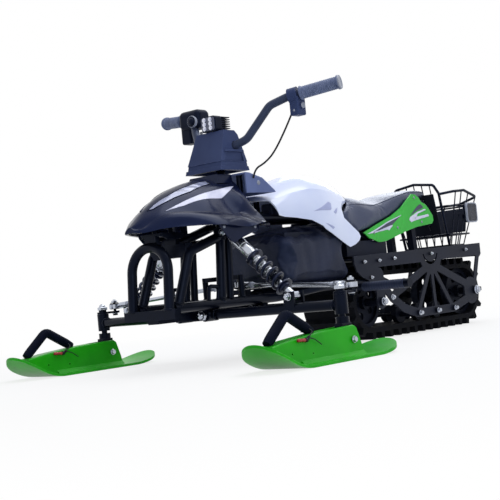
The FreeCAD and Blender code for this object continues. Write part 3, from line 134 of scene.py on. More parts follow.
def new_effect(name, inputs, outputs):
    """Starts a shader group with float sockets; returns it with its two end nodes."""
    group = bpy.data.node_groups.new(name, "ShaderNodeTree")
    for socket, value in inputs.items():
        made = group.interface.new_socket(name=socket, in_out="INPUT", socket_type="NodeSocketFloat")
        made.default_value = value
    for socket in outputs:
        group.interface.new_socket(name=socket, in_out="OUTPUT", socket_type="NodeSocketFloat")
    return group, group.nodes.new("NodeGroupInput"), group.nodes.new("NodeGroupOutput")


def object_space(tree):
    """The place of a shaded point along the object's own axes, in metres."""
    return add_node(tree, "ShaderNodeTexCoord").outputs["Object"]


def cloud(tree, place, scale, detail, roughness=0.5):
    """Noise round the middle of 0 to 1."""
    made = add_node(tree, "ShaderNodeTexNoise", {"Vector": place, "Scale": scale, "Detail": detail,
                                                 "Roughness": roughness})
    return made.outputs["Fac"]


def product(tree, first, second):
    """Two values multiplied."""
    return add_node(tree, "ShaderNodeMath", {0: first, 1: second}, operation="MULTIPLY").outputs[0]


def sum_of(tree, first, second, first_share, second_share):
    """A weighted sum of two sockets."""
    scaled = product(tree, first, first_share)
    made = add_node(tree, "ShaderNodeMath", {0: second, 1: second_share, 2: scaled}, operation="MULTIPLY_ADD")
    return made.outputs[0]


def remap(tree, value, low, high, new_low=0.0, new_high=1.0):
    """Stretches a socket's range and clamps it."""
    made = add_node(tree, "ShaderNodeMapRange", {"Value": value, "From Min": low, "From Max": high,
                                                 "To Min": new_low, "To Max": new_high})
    return made.outputs["Result"]


print("helpers ready")

# %% [markdown]
# ## Effects that many finishes share
# Moulded plastic is never perfectly even: it has a fine spark-eroded skin and a slow drift in
# tone. Vinyl has pebbles between creases. Plated rod has drawn lines. Edges turn paler, as wear
# and as a painted highlight, and flat tops catch dust. Each is built once here, with its own dials.

# %% Moulded skin: fine grain over a slow swell
skin, skin_in, skin_out = new_effect("moulded_skin", {"Grain": 900.0, "Swell": 9.0}, ("Height", "Tone"))
place = object_space(skin)
fine = cloud(skin, place, skin_in.outputs["Grain"], 2.0)
slow = cloud(skin, place, skin_in.outputs["Swell"], 3.0)
skin.links.new(sum_of(skin, fine, slow, 0.6, 0.4), skin_out.inputs["Height"])
skin.links.new(remap(skin, slow, 0.32, 0.68), skin_out.inputs["Tone"])
print(skin.name, [s.name for s in skin.interface.items_tree])

# %% Vinyl pebbles: rounded cells between creases
hide, hide_in, hide_out = new_effect("vinyl_pebbles", {"Cells": 620.0, "Swell": 14.0}, ("Height", "Tone"))
place = object_space(hide)
cells = add_node(hide, "ShaderNodeTexVoronoi", {"Vector": place, "Scale": hide_in.outputs["Cells"]},
                 feature="DISTANCE_TO_EDGE")
crease = remap(hide, cells.outputs["Distance"], 0.0, 0.22)
slow = cloud(hide, place, hide_in.outputs["Swell"], 4.0)
hide.links.new(sum_of(hide, crease, slow, 0.35, 0.65), hide_out.inputs["Height"])
hide.links.new(remap(hide, slow, 0.35, 0.65), hide_out.inputs["Tone"])
print(hide.name)

# %% Drawn metal: fine lines along the length of a rod or a pressed part
drawn, drawn_in, drawn_out = new_effect("drawn_metal", {"Lines": 260.0, "Swell": 20.0}, ("Height", "Tone"))
place = object_space(drawn)
pulled = add_node(drawn, "ShaderNodeMapping", {"Vector": place, "Scale": (0.5, 0.06, 1.0)})
lines = cloud(drawn, pulled.outputs[0], drawn_in.outputs["Lines"], 4.0, roughness=0.7)
slow = cloud(drawn, place, drawn_in.outputs["Swell"], 3.0)
drawn.links.new(lines, drawn_out.inputs["Height"])
drawn.links.new(remap(drawn, sum_of(drawn, lines, slow, 0.5, 0.5), 0.35, 0.65), drawn_out.inputs["Tone"])
print(drawn.name)

# %% Worn edges with a painted highlight: paler where a softened normal leaves the true one, broken by noise
edge_wear_highlight, edge_wear_highlight_in, edge_wear_highlight_out = new_effect("worn_edges_with_painted_highlight", {"Width": 0.0018, "Patches": 70.0}, ("Mask",))
soft = add_node(edge_wear_highlight, "ShaderNodeBevel", {"Radius": edge_wear_highlight_in.outputs["Width"]}, samples=4)
true = add_node(edge_wear_highlight, "ShaderNodeNewGeometry")
facing = add_node(edge_wear_highlight, "ShaderNodeVectorMath", {0: soft.outputs[0], 1: true.outputs["Normal"]},
                  operation="DOT_PRODUCT")
edge = remap(edge_wear_highlight, facing.outputs["Value"], 0.995, 0.86)
broken = remap(edge_wear_highlight, cloud(edge_wear_highlight, object_space(edge_wear_highlight), edge_wear_highlight_in.outputs["Patches"], 5.0), 0.42, 0.62)
edge_wear_highlight.links.new(product(edge_wear_highlight, edge, broken), edge_wear_highlight_out.inputs["Mask"])
print(edge_wear_highlight.name)

# %% Settled dust: thin, only where a surface looks up
dust, dust_in, dust_out = new_effect("settled_dust", {"Amount": 0.2, "Clouds": 16.0}, ("Mask",))
true = add_node(dust, "ShaderNodeNewGeometry")
level = add_node(dust, "ShaderNodeSeparateXYZ", {0: true.outputs["Normal"]})
up_facing = remap(dust, level.outputs["Z"], 0.1, 0.95)
thin = remap(dust, cloud(dust, object_space(dust), dust_in.outputs["Clouds"], 6.0), 0.4, 0.7)
laid = product(dust, up_facing, thin)
dust.links.new(product(dust, laid, dust_in.outputs["Amount"]), dust_out.inputs["Mask"])
print(dust.name)

# %% [markdown]
# ## A finish from parts
# All finishes of this machine follow one plan: a base colour that drifts between two close tones,
# paler edges that are partly wear and partly a painted highlight, a veil of dust, a roughness that
# wanders, and a bump. A function builds that plan, and only its numbers differ. Each effect has two
# dials, given in order: the size of its grain and that of its swell. Constants stay on the shader's
# own sockets.

# %% Colours and their mixing
def tint(code):
    """A colour written as six hex digits, turned into linear light."""
    parts = [int(code[i:i + 2], 16) / 255 for i in (0, 2, 4)]
    return tuple(p / 12.92 if p <= 0.04045 else ((p + 0.055) / 1.055) ** 2.4 for p in parts) + (1.0,)


def blend_colour(tree, share, first, second):
    """Mixes two colours by a mask."""
    made = add_node(tree, "ShaderNodeMix", {"Factor": share}, data_type="RGBA")
    for key, value in (("A", first), ("B", second)):
        socket = [s for s in made.inputs if s.name == key and s.type == "RGBA"][0]
        if isinstance(value, bpy.types.NodeSocket):
            tree.links.new(value, socket)
        else:
            socket.default_value = value
    return [s for s in made.outputs if s.type == "RGBA"][0]


print("a middle grey in linear light:", [round(v, 3) for v in tint("808080")])

# %% The finish builder
WHITE = (1.0, 1.0, 1.0, 1.0)
SKY = (0.4, 0.55, 1.0, 1.0)
DUST_TONE = "c9ccd2"
ROUGHNESS_DRIFT = 0.04


def finish(name, tone, deep, rough, effect=skin, dials=(), bump=0.00008, edge_wear_and_highlight=None, width=0.0018,
           dusty=0.0, shine=0.5, mirrors=WHITE, coat=(0.0, 0.03), **sockets):
    """Two tones and a roughness, then worn edges with a painted highlight, dust and bump; coat is weight,
    roughness.
    """
    made = bpy.data.materials.new(name)
    made.use_nodes = True
    tree = made.node_tree
    shader = tree.nodes["Principled BSDF"]
    sockets.update(Specular_IOR_Level=shine, Specular_Tint=mirrors, Coat_Weight=coat[0],
                   Coat_Roughness=coat[1])
    for key, value in sockets.items():
        shader.inputs[key.replace("_", " ")].default_value = value
    base = add_node(tree, "ShaderNodeGroup", node_tree=effect)
    for socket, value in zip(base.inputs, dials):
        socket.default_value = value
    colour = blend_colour(tree, base.outputs["Tone"], tint(tone), tint(deep))
    roughness = remap(tree, base.outputs["Tone"], 0.0, 1.0, rough - ROUGHNESS_DRIFT,
                      rough + ROUGHNESS_DRIFT)
    # paler edges: partly wear from handling, partly a painted highlight along each edge
    if edge_wear_and_highlight:
        edge_wear_and_highlight_node = add_node(tree, "ShaderNodeGroup", node_tree=edge_wear_highlight)
        edge_wear_and_highlight_node.inputs["Width"].default_value = width
        colour = blend_colour(tree, edge_wear_and_highlight_node.outputs["Mask"], colour, tint(edge_wear_and_highlight))
    if dusty:
        veil = add_node(tree, "ShaderNodeGroup", node_tree=dust)
        veil.inputs["Amount"].default_value = dusty
        colour = blend_colour(tree, veil.outputs["Mask"], colour, tint(DUST_TONE))
        roughness = sum_of(tree, roughness, veil.outputs["Mask"], 1.0, 0.5)
    tree.links.new(colour, shader.inputs["Base Color"])
    tree.links.new(roughness, shader.inputs["Roughness"])
    bumped = add_node(tree, "ShaderNodeBump", {"Height": base.outputs["Height"], "Strength": 1.0,
                                               "Distance": bump})
    tree.links.new(bumped.outputs[0], shader.inputs["Normal"])
    return made


def wear(node_name, material):
    """Gives a CAD node another finish, without touching its mesh."""
    for slot in nodes[node_name].material_slots:
        slot.material = material


print("finish builder ready")

# %% [markdown]
# ## Metal finishes
# The chassis is black gloss powder coat with a faint orange peel; its edges turn grey, partly as wear
# and partly as a painted highlight. The side plates are a duller coat over pressed sheet. Rods, nuts
# and bolts are bright zinc.

# %% Metals
black_coat = finish(
    "black_powder_coat", "04060e", "070b18", 0.32, dials=(420, 30), bump=0.00006, edge_wear_and_highlight="262c3c",
    dusty=0.01, shine=0.12, mirrors=SKY, coat=(0.04, 0.1))
plate_coat = finish(
    "plate_powder_coat", "15161d", "1e2029", 0.45, dials=(520, 12), bump=0.00012, edge_wear_and_highlight="454954",
    width=0.0022, dusty=0.03, shine=0.16, mirrors=SKY)
zinc = finish(
    "bright_zinc", "bcc1cc", "a8aebb", 0.24, effect=drawn, dials=(90, 8), bump=0.00001, edge_wear_and_highlight="dfe3ea",
    dusty=0.02, Metallic=1.0)
dull_zinc = finish(
    "dull_zinc", "9096a5", "757b8a", 0.42, effect=drawn, bump=0.00003, edge_wear_and_highlight="c0c5d0", dusty=0.04,
    Metallic=1.0)
spring_coat = finish(
    "spring_gloss", "06081a", "0b0f26", 0.24, bump=0.00003, edge_wear_and_highlight="262c44", shine=0.3, mirrors=SKY,
    coat=(0.08, 0.06))
wire_coat = finish(
    "wire_gloss_dip", "07080f", "0e1120", 0.3, dials=(300, 40), bump=0.00008, dusty=0.015, shine=0.2,
    mirrors=SKY)
bar_coat = finish(
    "handlebar_coat", "262b3b", "31374a", 0.32, bump=0.00003, edge_wear_and_highlight="5d6373", dusty=0.03, shine=0.4,
    mirrors=SKY)
print("metals:", black_coat.name, plate_coat.name, zinc.name)

# %% [markdown]
# ## Plastics
# The nose cowl is glossy navy black, the steering pod above it is the same colour with a satin
# skin, the tank shell is gloss white, and skis and tail panels are green. Thick polyethylene
# such as a ski lets a little light in, so it gets a small share of subsurface scattering.

# %% Plastics
navy_gloss = finish(
    "navy_gloss", "0b1128", "101836", 0.22, dials=(60, 7), bump=0.00005, edge_wear_and_highlight="222b4a", dusty=0.01,
    shine=0.17, mirrors=SKY, coat=(0.05, 0.05))
navy_satin = finish(
    "navy_satin", "2e3859", "3a4568", 0.42, dials=(1100, 9), bump=0.0001, edge_wear_and_highlight="56628a", dusty=0.02,
    shine=0.14, mirrors=SKY)
console_satin = finish(
    "console_satin", "59658f", "66739e", 0.42, dials=(1100, 9), bump=0.0001, edge_wear_and_highlight="7681a6", dusty=0.04,
    shine=0.3, mirrors=SKY)
black_satin = finish(
    "black_satin_plastic", "0a0d18", "111525", 0.45, dials=(1000, 14), bump=0.0001, edge_wear_and_highlight="30364a",
    dusty=0.015, shine=0.15, mirrors=SKY)
tank_white = finish(
    "gloss_white", "dbe3f9", "c6d1f2", 0.2, dials=(50, 5), bump=0.00004, edge_wear_and_highlight="eef1fb", shine=0.4,
    coat=(0.35, 0.05))
panel_green = finish(
    "panel_green", "2ab835", "22a92f", 0.3, dials=(500, 8), bump=0.00005, edge_wear_and_highlight="7fd285", dusty=0.02,
    shine=0.25, coat=(0.1, 0.08))
ski_green = finish(
    "ski_polyethylene", "24ab14", "1b9812", 0.34, dials=(260, 10), bump=0.0001, edge_wear_and_highlight="58c24e",
    width=0.003, dusty=0.02, shine=0.12, coat=(0.06, 0.1), Subsurface_Weight=0.08,
    Subsurface_Radius=(0.004, 0.01, 0.003))
wheel_black = finish(
    "wheel_nylon", "090b13", "11141f", 0.5, dials=(700, 20), bump=0.0001, edge_wear_and_highlight="2c313e", dusty=0.02,
    shine=0.12, mirrors=SKY)
print("plastics:", navy_gloss.name, tank_white.name, ski_green.name)

# %% [markdown]
# ## Soft finishes
# Vinyl, foam and rubber scatter light from small cells. The vinyl keeps a low sheen on its
# pebbles; foam and track rubber have almost none, and hold more dust.

# %% Vinyl, foam and rubber
seat_vinyl = finish(
    "seat_vinyl", "1b2338", "242e4a", 0.36, effect=hide, dials=(560, 5), bump=0.0002, dusty=0.02, shine=0.6,
    mirrors=(0.62, 0.7, 1.0, 1.0), Sheen_Weight=0.06, Sheen_Roughness=0.5, Sheen_Tint=(0.5, 0.62, 1.0, 1.0))
cover_vinyl = finish(
    "cover_vinyl", "060a1a", "141b33", 0.38, effect=hide, dials=(420, 7), bump=0.0007, dusty=0.01,
    shine=0.32, mirrors=(0.5, 0.62, 1.0, 1.0), Sheen_Weight=0.1, Sheen_Roughness=0.4,
    Sheen_Tint=(0.4, 0.5, 1.0, 1.0))
foam = finish(
    "handle_foam", "060914", "0c1020", 0.75, effect=hide, dials=(900, 40), bump=0.0004, dusty=0.01,
    shine=0.08, mirrors=SKY)
grip_rubber = finish(
    "grip_rubber", "505a76", "5f6a8a", 0.5, dials=(1200, 30), bump=0.0001, edge_wear_and_highlight="8e97b2", dusty=0.03,
    shine=0.4, mirrors=(0.7, 0.8, 1.0, 1.0))
peg_rubber = finish(
    "peg_rubber", "191d2c", "23283a", 0.5, dials=(900, 30), bump=0.0001, edge_wear_and_highlight="454c60", dusty=0.03,
    shine=0.35, mirrors=SKY)
track_rubber = finish(
    "track_rubber", "04060a", "0b0d15", 0.72, dials=(350, 22), bump=0.0005, edge_wear_and_highlight="1c2029", width=0.003,
    dusty=0.015, shine=0.08)
cable_rubber = finish(
    "cable_rubber", "0b0c12", "14161f", 0.5, dials=(800, 60), bump=0.0001, dusty=0.03, shine=0.2)
print("soft finishes:", seat_vinyl.name, cover_vinyl.name, track_rubber.name)

# %% [markdown]
# ## Lamps and reflectors
# The headlight windows are silvered plastic under a clear skin, with fine ribs across. The work
# lamp shows six small cups on a dark pane. A reflector is a field of small prisms that looks grey
# in daylight. The windows and the reflectors use the same ribs as their height.

# %% A group of ribs for moulded lenses
ribs, ribs_in, ribs_out = new_effect("lens_ribs", {"Pitch": 160.0, "Swell": 8.0}, ("Height", "Tone"))
place = object_space(ribs)
across = add_node(ribs, "ShaderNodeTexWave", {"Vector": place, "Scale": ribs_in.outputs["Pitch"],
                                              "Distortion": 0.6, "Detail": 1.0}, bands_direction="DIAGONAL")
slow = cloud(ribs, place, ribs_in.outputs["Swell"], 3.0)
ribs.links.new(across.outputs["Fac"], ribs_out.inputs["Height"])
ribs.links.new(remap(ribs, slow, 0.35, 0.65), ribs_out.inputs["Tone"])
print(ribs.name)

# %% Lamp finishes
lens_silver = finish(
    "headlight_silver", "a4aac6", "757d9c", 0.22, effect=ribs, dials=(34,), bump=0.0008, edge_wear_and_highlight="d5d9e8",
    coat=(0.5, 0.03), Metallic=0.25)
lamp_pane = finish("lamp_pane", "4a5068", "363b50", 0.1, bump=0.00003, coat=(0.3, 0.03))
cup_silver = finish("lamp_cup_silver", "d6d9e6", "a9aec2", 0.12, bump=0.00003, Metallic=1.0)
prism_grey = finish(
    "reflector_prisms", "2a2d3a", "1c1f2a", 0.3, effect=ribs, dials=(120, 60), bump=0.0006, shine=0.2,
    coat=(0.12, 0.08))
pale_film = finish("pale_film", "d9dbee", "c6c9e2", 0.3, dials=(700, 18), bump=0.00003, coat=(0.3, 0.03))
navy_film = finish("navy_film", "262d52", "1e2444", 0.34, dials=(700, 18), bump=0.00003)
# painted shade: a lavender grey film that stands for the shade in the tank's creases and recesses
painted_shade_film = finish("painted_shade_film", "a9b1d8", "9aa2c8", 0.4, dials=(700, 18), bump=0.00003)
pale_rim = finish("pale_plastic_rim", "9aa0b0", "7f8594", 0.35, bump=0.00005, edge_wear_and_highlight="c9cdd6")
red_clip = finish("red_clip_plastic", "b3202a", "8f1820", 0.35, bump=0.00005, edge_wear_and_highlight="dd6a70")
print("lamps, films and rims ready")

# %% [markdown]
# ## Finishes for the CAD nodes
# A CAD node whose shape is right stays and only changes its finish. The list pairs each node with
# what the real part is made of.

# %% Pair the nodes with finishes
FINISHES = (
    (black_coat, ("lower_frame", "upper_frame", "front_hoop", "nose_bracket", "lower_arms", "spindle_left",
                  "spindle_right", "steering_column", "footpegs")),
    (plate_coat, ("side_plates", "tunnel_deck", "basket_plate")),
    (zinc, ("tie_rod_left", "tie_rod_right")),
    (spring_coat, ("shock_springs",)),
    (wire_coat, ("basket",)),
    (bar_coat, ("handlebar",)),
    (navy_gloss, ("front_cowl",)),
    (navy_satin, ("handlebar_pod", "left_switch")),
    (console_satin, ("dash_console",)),
    (black_satin, ("throttle_housing", "work_lamp", "wiring_block", "seat_base",
                   "battery_motor_block", "side_reflectors")),
    (tank_white, ("tank_shell",)),
    (panel_green, ("tail_panels",)),
    (ski_green, ("ski_left", "ski_right")),
    (wheel_black, ("rear_idler", "drive_sprocket", "lower_bogies")),
    (track_rubber, ("track",)),
    (lens_silver, ("headlight_lenses",)),
    (lamp_pane, ("work_lamp_lens",)),
)
for material, names in FINISHES:
    for name in names:
        wear(name, material)
print(sum(len(names) for material, names in FINISHES), "nodes have a finish")

# %% [markdown]
# ## Tools for new pieces
# Turned parts such as nuts, sleeves and collars come from a profile swung round an axis. Bent ones
# come from a round section carried along a path. Both are built straight into one mesh, so that a
# few dozen fasteners are one light piece, and every piece ends with the same few lines.

# %% Rings of vertices and the faces between them
def frame_on(axis):
    """An axis of length 1 and two directions at right angles to it."""
    axis = Vector(axis).normalized()
    helper = UPWARD if abs(axis.z) < 0.9 else FORWARD
    first = axis.cross(helper).normalized()
    return axis, first, axis.cross(first)


def round_about(first, second, part, turn=0.0):
    """The direction at a part of a full turn, in the plane of two directions."""
    a = 2 * math.pi * part + turn
    return first * math.cos(a) + second * math.sin(a)


def ring_on(mesh, centre, first, second, radius, sides, turn=0.0):
    """A ring of vertices round a point; radius in millimetres."""
    return [mesh.verts.new(centre + round_about(first, second, i / sides, turn) * radius * MM)
            for i in range(sides)]


def bridge(mesh, rings, closed=True):
    """Faces between neighbouring rings of vertices, and one face over each end."""
    count = len(rings[0])
    for low, high in zip(rings[:-1], rings[1:]):
        for i in range(count):
            j = (i + 1) % count
            mesh.faces.new((low[i], low[j], high[j], high[i]))
    if closed:
        mesh.faces.new(list(reversed(rings[0])))
        mesh.faces.new(rings[-1])


print("ring helpers ready")

# %% Turned parts, bars and rounded paths
def turned(mesh, profile, start, axis, sides=28):
    """Adds a turned part: profile pairs are (distance along the axis, radius), in millimetres."""
    axis, first, second = frame_on(axis)
    bridge(mesh, [ring_on(mesh, start + axis * along * MM, first, second, radius, sides)
                  for along, radius in profile])


def carried(mesh, path, radius, sides=16):
    """Adds a round bar along a path of points; radius is a number or one value per point."""
    radii = radius if isinstance(radius, list) else [radius] * len(path)
    first = frame_on(path[1] - path[0])[1]
    rings = []
    for i, point in enumerate(path):
        way = (path[min(i + 1, len(path) - 1)] - path[max(i - 1, 0)]).normalized()
        first = (first - way * first.dot(way)).normalized()
        rings.append(ring_on(mesh, point, first, way.cross(first), radii[i], sides))
    bridge(mesh, rings)


def eased(points, bend, steps=8):
    """Points of a path whose corners are rounded with a bend radius, in millimetres."""
    path = [points[0]]
    for before, corner, after in zip(points[:-2], points[1:-1], points[2:]):
        to_start = (before - corner).normalized()
        to_end = (after - corner).normalized()
        half = to_start.angle(to_end) / 2
        shorter = min((before - corner).length, (after - corner).length)
        cut = min(bend * MM / math.tan(half), 0.48 * shorter)
        a = corner + to_start * cut
        b = corner + to_end * cut
        for k in range(steps + 1):
            t = k / steps
            path.append(a * (1 - t) ** 2 + corner * 2 * t * (1 - t) + b * t ** 2)
    path.append(points[-1])
    return path


corner_path = eased([at(0, 0, 0), at(50, 0, 0), at(50, 50, 0)], 20)
print("a corner eased over 20 mm has", len(corner_path), "points")

# %% The last lines of every piece
def piece(name, mesh, material, body, smooth_angle=35.0):
    """Turns a bmesh into a named object with its finish, and lets it ride on a CAD body."""
    bmesh.ops.recalc_face_normals(mesh, faces=mesh.faces)
    data = bpy.data.meshes.new(name)
    mesh.to_mesh(data)
    mesh.free()
    data.materials.append(material)
    data.shade_smooth()
    data.set_sharp_from_angle(angle=math.radians(smooth_angle))
    made = bpy.data.objects.new(name, data)
    bpy.context.scene.collection.objects.link(made)
    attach(made, body)
    print(name, len(data.polygons), "faces")
    return made


print("pieces can be finished")

# %% [markdown]
# ## Nuts and bolts
# A hexagon nut is a six-sided ring with its corners turned off, a washer under it and a bolt end
# or a dome over it. Seen from a step away the turned corners make the highlights, so they are
# modelled. Each fastener sits where the CAD has its hole or its stud.

# %% A hexagon fastener
def hexagon(mesh, start, axis, across, thick, washer=0.0, dome=0.0, stub=0.0, turn=0.0):
    """Adds a nut or bolt head: across its flats, its height, and what lies under and over it."""
    axis, first, second = frame_on(axis)
    if washer:
        turned(mesh, [(0, washer), (1.2, washer), (1.6, washer - 0.5)], start, axis, 24)
        start = start + axis * 1.6 * MM
    corner = across / math.sqrt(3)
    bridge(mesh, [ring_on(mesh, start + axis * along * MM, first, second, radius, 6, turn)
                  for along, radius in ((0.0, corner), (thick - 1.2, corner), (thick, corner * 0.9))])
    top = start + axis * thick * MM
    if dome:
        steps = [i * math.pi / 16 for i in range(8)]
        turned(mesh, [(dome * math.sin(t) * 0.95, dome * math.cos(t)) for t in steps], top, axis, 24)
    if stub:
        turned(mesh, [(0, stub), (2.6, stub), (3.4, stub - 0.8)], top, axis, 18)


print("a nut of 12 mm is", round(12 * 2 / math.sqrt(3), 1), "mm over its corners")

# %% Fasteners on the chassis
# distance from the middle plane of the faces that carry them: side plate, axle ends, carrier
PLATE_FACE = 137.9
AXLE_FACE = 139.6
CARRIER_FACE = 132.6
# x and z of the small bolts in a side plate
PLATE_BOLTS = ((-524, 232), (-600, 233), (-681, 236), (-893, 242), (-1105, 247), (-553, 185))
# x, z, size across the flats, height and radius of the axle's end
AXLE_NUTS = ((-600, 111, 18, 6.4, 8.2), (-1148, 111, 22, 6.4, 8.2), (-793, 62, 12, 4.6, 5.4),
             (-898, 62, 12, 4.6, 5.4), (-1003, 62, 12, 4.6, 5.4))
# x of the two pivots of an arm, then y, z and the two ends in x of a shock's bolts
ARM_PIVOTS = (50, -145)
PIVOT_HALF = 28.4
SHOCK_BOLTS = ((97, 338, -18, 30), (290, 158, -16, 28))

chassis_bolts = bmesh.new()
for side in (1, -1):
    out = Vector((0, side, 0))
    for i, (x, z) in enumerate(PLATE_BOLTS):
        hexagon(chassis_bolts, at(x, side * PLATE_FACE, z), out, 8.2, 2.6, washer=5.2, stub=2.4, turn=0.4 * i)
    hexagon(chassis_bolts, at(-659, side * CARRIER_FACE, 120), out, 13.0, 5.0, washer=8.6, stub=3.6)
    for x, z, across, thick, axle in AXLE_NUTS:
        hexagon(chassis_bolts, at(x, side * AXLE_FACE, z), out, across, thick, washer=across * 0.66,
                stub=axle, turn=0.3)
    for x in ARM_PIVOTS:
        hexagon(chassis_bolts, at(x + PIVOT_HALF, side * 46, 129), FORWARD, 22.6, 8.4, dome=9)
        hexagon(chassis_bolts, at(x - PIVOT_HALF, side * 46, 129), -FORWARD, 19, 7.0, washer=13)
    for y, z, low_x, high_x in SHOCK_BOLTS:
        hexagon(chassis_bolts, at(high_x, side * y, z), FORWARD, 16, 6.5, washer=10, stub=5.2)
        hexagon(chassis_bolts, at(low_x, side * y, z), -FORWARD, 16, 6.0, washer=10)
    turned(chassis_bolts, [(0, 4.95), (46, 4.95)], at(-17, side * 290, 158), FORWARD, 18)
piece("chassis_fasteners", chassis_bolts, zinc, "chassis")

# %% Nuts on the kingpins and the ski bolts
for side, word in SIDES:
    hub_nuts = bmesh.new()
    y = side * STANCE
    hexagon(hub_nuts, at(0, y, 166.1), UPWARD, 24.6, 8.4, dome=9.6)
    hexagon(hub_nuts, at(-48, y, 184.4), UPWARD, 15.4, 6.2, stub=4.2)
    hexagon(hub_nuts, at(-48, y, 152), UPWARD, 15.4, 6.6)
    for out in (1, -1):
        hexagon(hub_nuts, at(0, y + out * 28.5, 44), (0, out, 0), 12, 4.8, washer=8.6, turn=0.2)
    piece("hub_fasteners_" + word, hub_nuts, zinc, "kingpin_" + word)

# %% [markdown]
# ## Front shock absorbers
# The real damper is a plated body with a clevis at each end, a threaded collar that loads the
# spring, and a rod inside a rubber bump stop. CAD keeps it as a few plain cylinders. Here it is
# turned again with its grooves, and takes the place of the CAD node; the CAD spring stays.

# %% Profiles of the damper
SHOCK_TOP = (6, 97, 338)
SHOCK_LOW = (6, 290, 158)
SPRING_START = 111.7
BODY_END = 186.0
damper_length = (at(*SHOCK_LOW) - at(*SHOCK_TOP)).length / MM
spring_end = damper_length - 40.0

GAS_CHAMBER = [(8, 12.0), (14, 14.6), (17, 15.2), (62, 15.2), (63, 14.2), (65, 14.2), (66, 15.2),
               (90, 15.2), (92, 14.2), (98, 14.2)]
threads = [(104.5, 12.2)]
for i in range(14):
    threads += [(107 + i * 5, 12.3), (109 + i * 5, 12.3), (110 + i * 5, 11.4), (111 + i * 5, 11.4)]
threads.append((BODY_END, 12.0))
UPPER_COLLAR = [(SPRING_START - 6.6, 16.4), (SPRING_START - 6.2, 24.0), (SPRING_START - 5.2, 24.9),
                (SPRING_START - 1.1, 24.9), (SPRING_START - 0.1, 24.2)]
lower_collar = [(spring_end + 0.4, 24.2), (spring_end + 1.4, 24.9), (spring_end + 4.4, 24.9),
                (spring_end + 5.2, 18.0), (spring_end + 11, 17.6), (spring_end + 12, 15.0)]
rubber_rings = [(BODY_END + 0.2, 8.0)]
for i in range(2):
    start = BODY_END + i * 9
    rubber_rings += [(start + 3, 10.8), (start + 7, 11.2), (start + 10, 8.6)]
print("damper", round(damper_length, 1), "mm between its eyes, with", len(threads), "steps in its thread")

# %% Damper bodies, collars and bump stops
bodies = bmesh.new()
collars = bmesh.new()
stops = bmesh.new()
for side in (1, -1):
    top = on_side(SHOCK_TOP, side)
    low = on_side(SHOCK_LOW, side)
    down, first, second = frame_on(low - top)
    for end, radius in ((top, 12.6), (low, 11.6)):
        eye = [(-15.5, radius - 1), (-14.5, radius), (14.5, radius), (15.5, radius - 1)]
        turned(bodies, eye, end, FORWARD, 28)
    turned(bodies, GAS_CHAMBER, top, down, 36)
    turned(bodies, threads, top, down, 28)
    turned(bodies, [(BODY_END - 1, 6.6), (damper_length - 12, 6.6)], top, down, 20)
    for i in range(8):
        spoke = round_about(first, second, i / 8)
        foot = top + down * 101.5 * MM
        carried(bodies, [foot + spoke * 15.0 * MM, foot + spoke * 21.5 * MM], 2.6, sides=8)
    turned(bodies, [(spring_end + 12, 9.4), (spring_end + 15, 9.9), (damper_length - 8, 9.9)], top, down, 28)
    turned(bodies, [(98, 15.5), (98.8, 17.6), (103.6, 17.8), (104.6, 16.4)], top, down, 36)
    turned(collars, UPPER_COLLAR, top, down, 36)
    turned(collars, lower_collar, top, down, 36)
    turned(stops, rubber_rings, top, down, 24)
dampers = piece("shock_bodies", bodies, zinc, "chassis")
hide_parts("shock_dampers")
piece("shock_collars", collars, spring_coat, "chassis")
piece("shock_bump_stops", stops, foam, "chassis")

# %% [markdown]
# ## Tie rods
# A steering rod ends in two ball joints: a jam nut on the thread, a round housing, and a rubber
# boot that keeps snow out. The CAD rods stay as they are, and the boots and jam nuts are added.

# %% Boots, jam nuts and threads
BALL_IN = (-103, 19, 199)
BALL_OUT = (-48, 427, 173)
THREAD = [(7, 6.6), (9, 6.9), (10, 6.2), (12, 6.9), (13, 6.2), (15, 6.9), (16, 6.2), (18, 6.9), (19, 6.2)]
for side, word in SIDES:
    near = on_side(BALL_IN, side)
    far = on_side(BALL_OUT, side)
    way = (far - near).normalized()
    nuts = bmesh.new()
    for start, along in ((near + way * 44 * MM, way), (far - way * 48.5 * MM, -way)):
        hexagon(nuts, start, along, 17.5, 7.0)
        turned(nuts, THREAD, start, along, 20)
    piece("tie_rod_nuts_" + word, nuts, dull_zinc, "tie_" + word)
    boot = bmesh.new()
    turned(boot, [(5.8, 13.0), (6.8, 14.5), (8.0, 14.2), (8.8, 11.5), (8.9, 9.4)], far, UPWARD, 28)
    turned(boot, [(5.8, 14.2), (7.0, 14.5), (7.8, 12.0), (8.0, 9.4)], far, -UPWARD, 28)
    piece("tie_rod_boot_" + word, boot, cable_rubber, "tie_" + word)

# %% [markdown]
# ## Weld beads
# The chassis is welded, and what shows of a weld is a low rippled ring where one tube meets the
# next. A ring of small facets whose radius waves once per ripple looks right from a step away.

# %% A ring of weld
def weld(mesh, centre, axis, radius, bead=2.0, ripples=26):
    """Adds a rippled ring round a tube's foot; every second step of it is a little thicker."""
    axis, first, second = frame_on(axis)
    rings = []
    for i in range(ripples * 2):
        out = round_about(first, second, i / (ripples * 2))
        size = bead * (1.0 + 0.22 * (i % 2)) * (1 + 0.15 * noise.noise(centre * 40 + out))
        rings.append(ring_on(mesh, centre + out * radius * MM, out, axis * 1.3, size, 6))
    rings.append(rings[0])
    bridge(mesh, rings, closed=False)


print("weld helper ready")

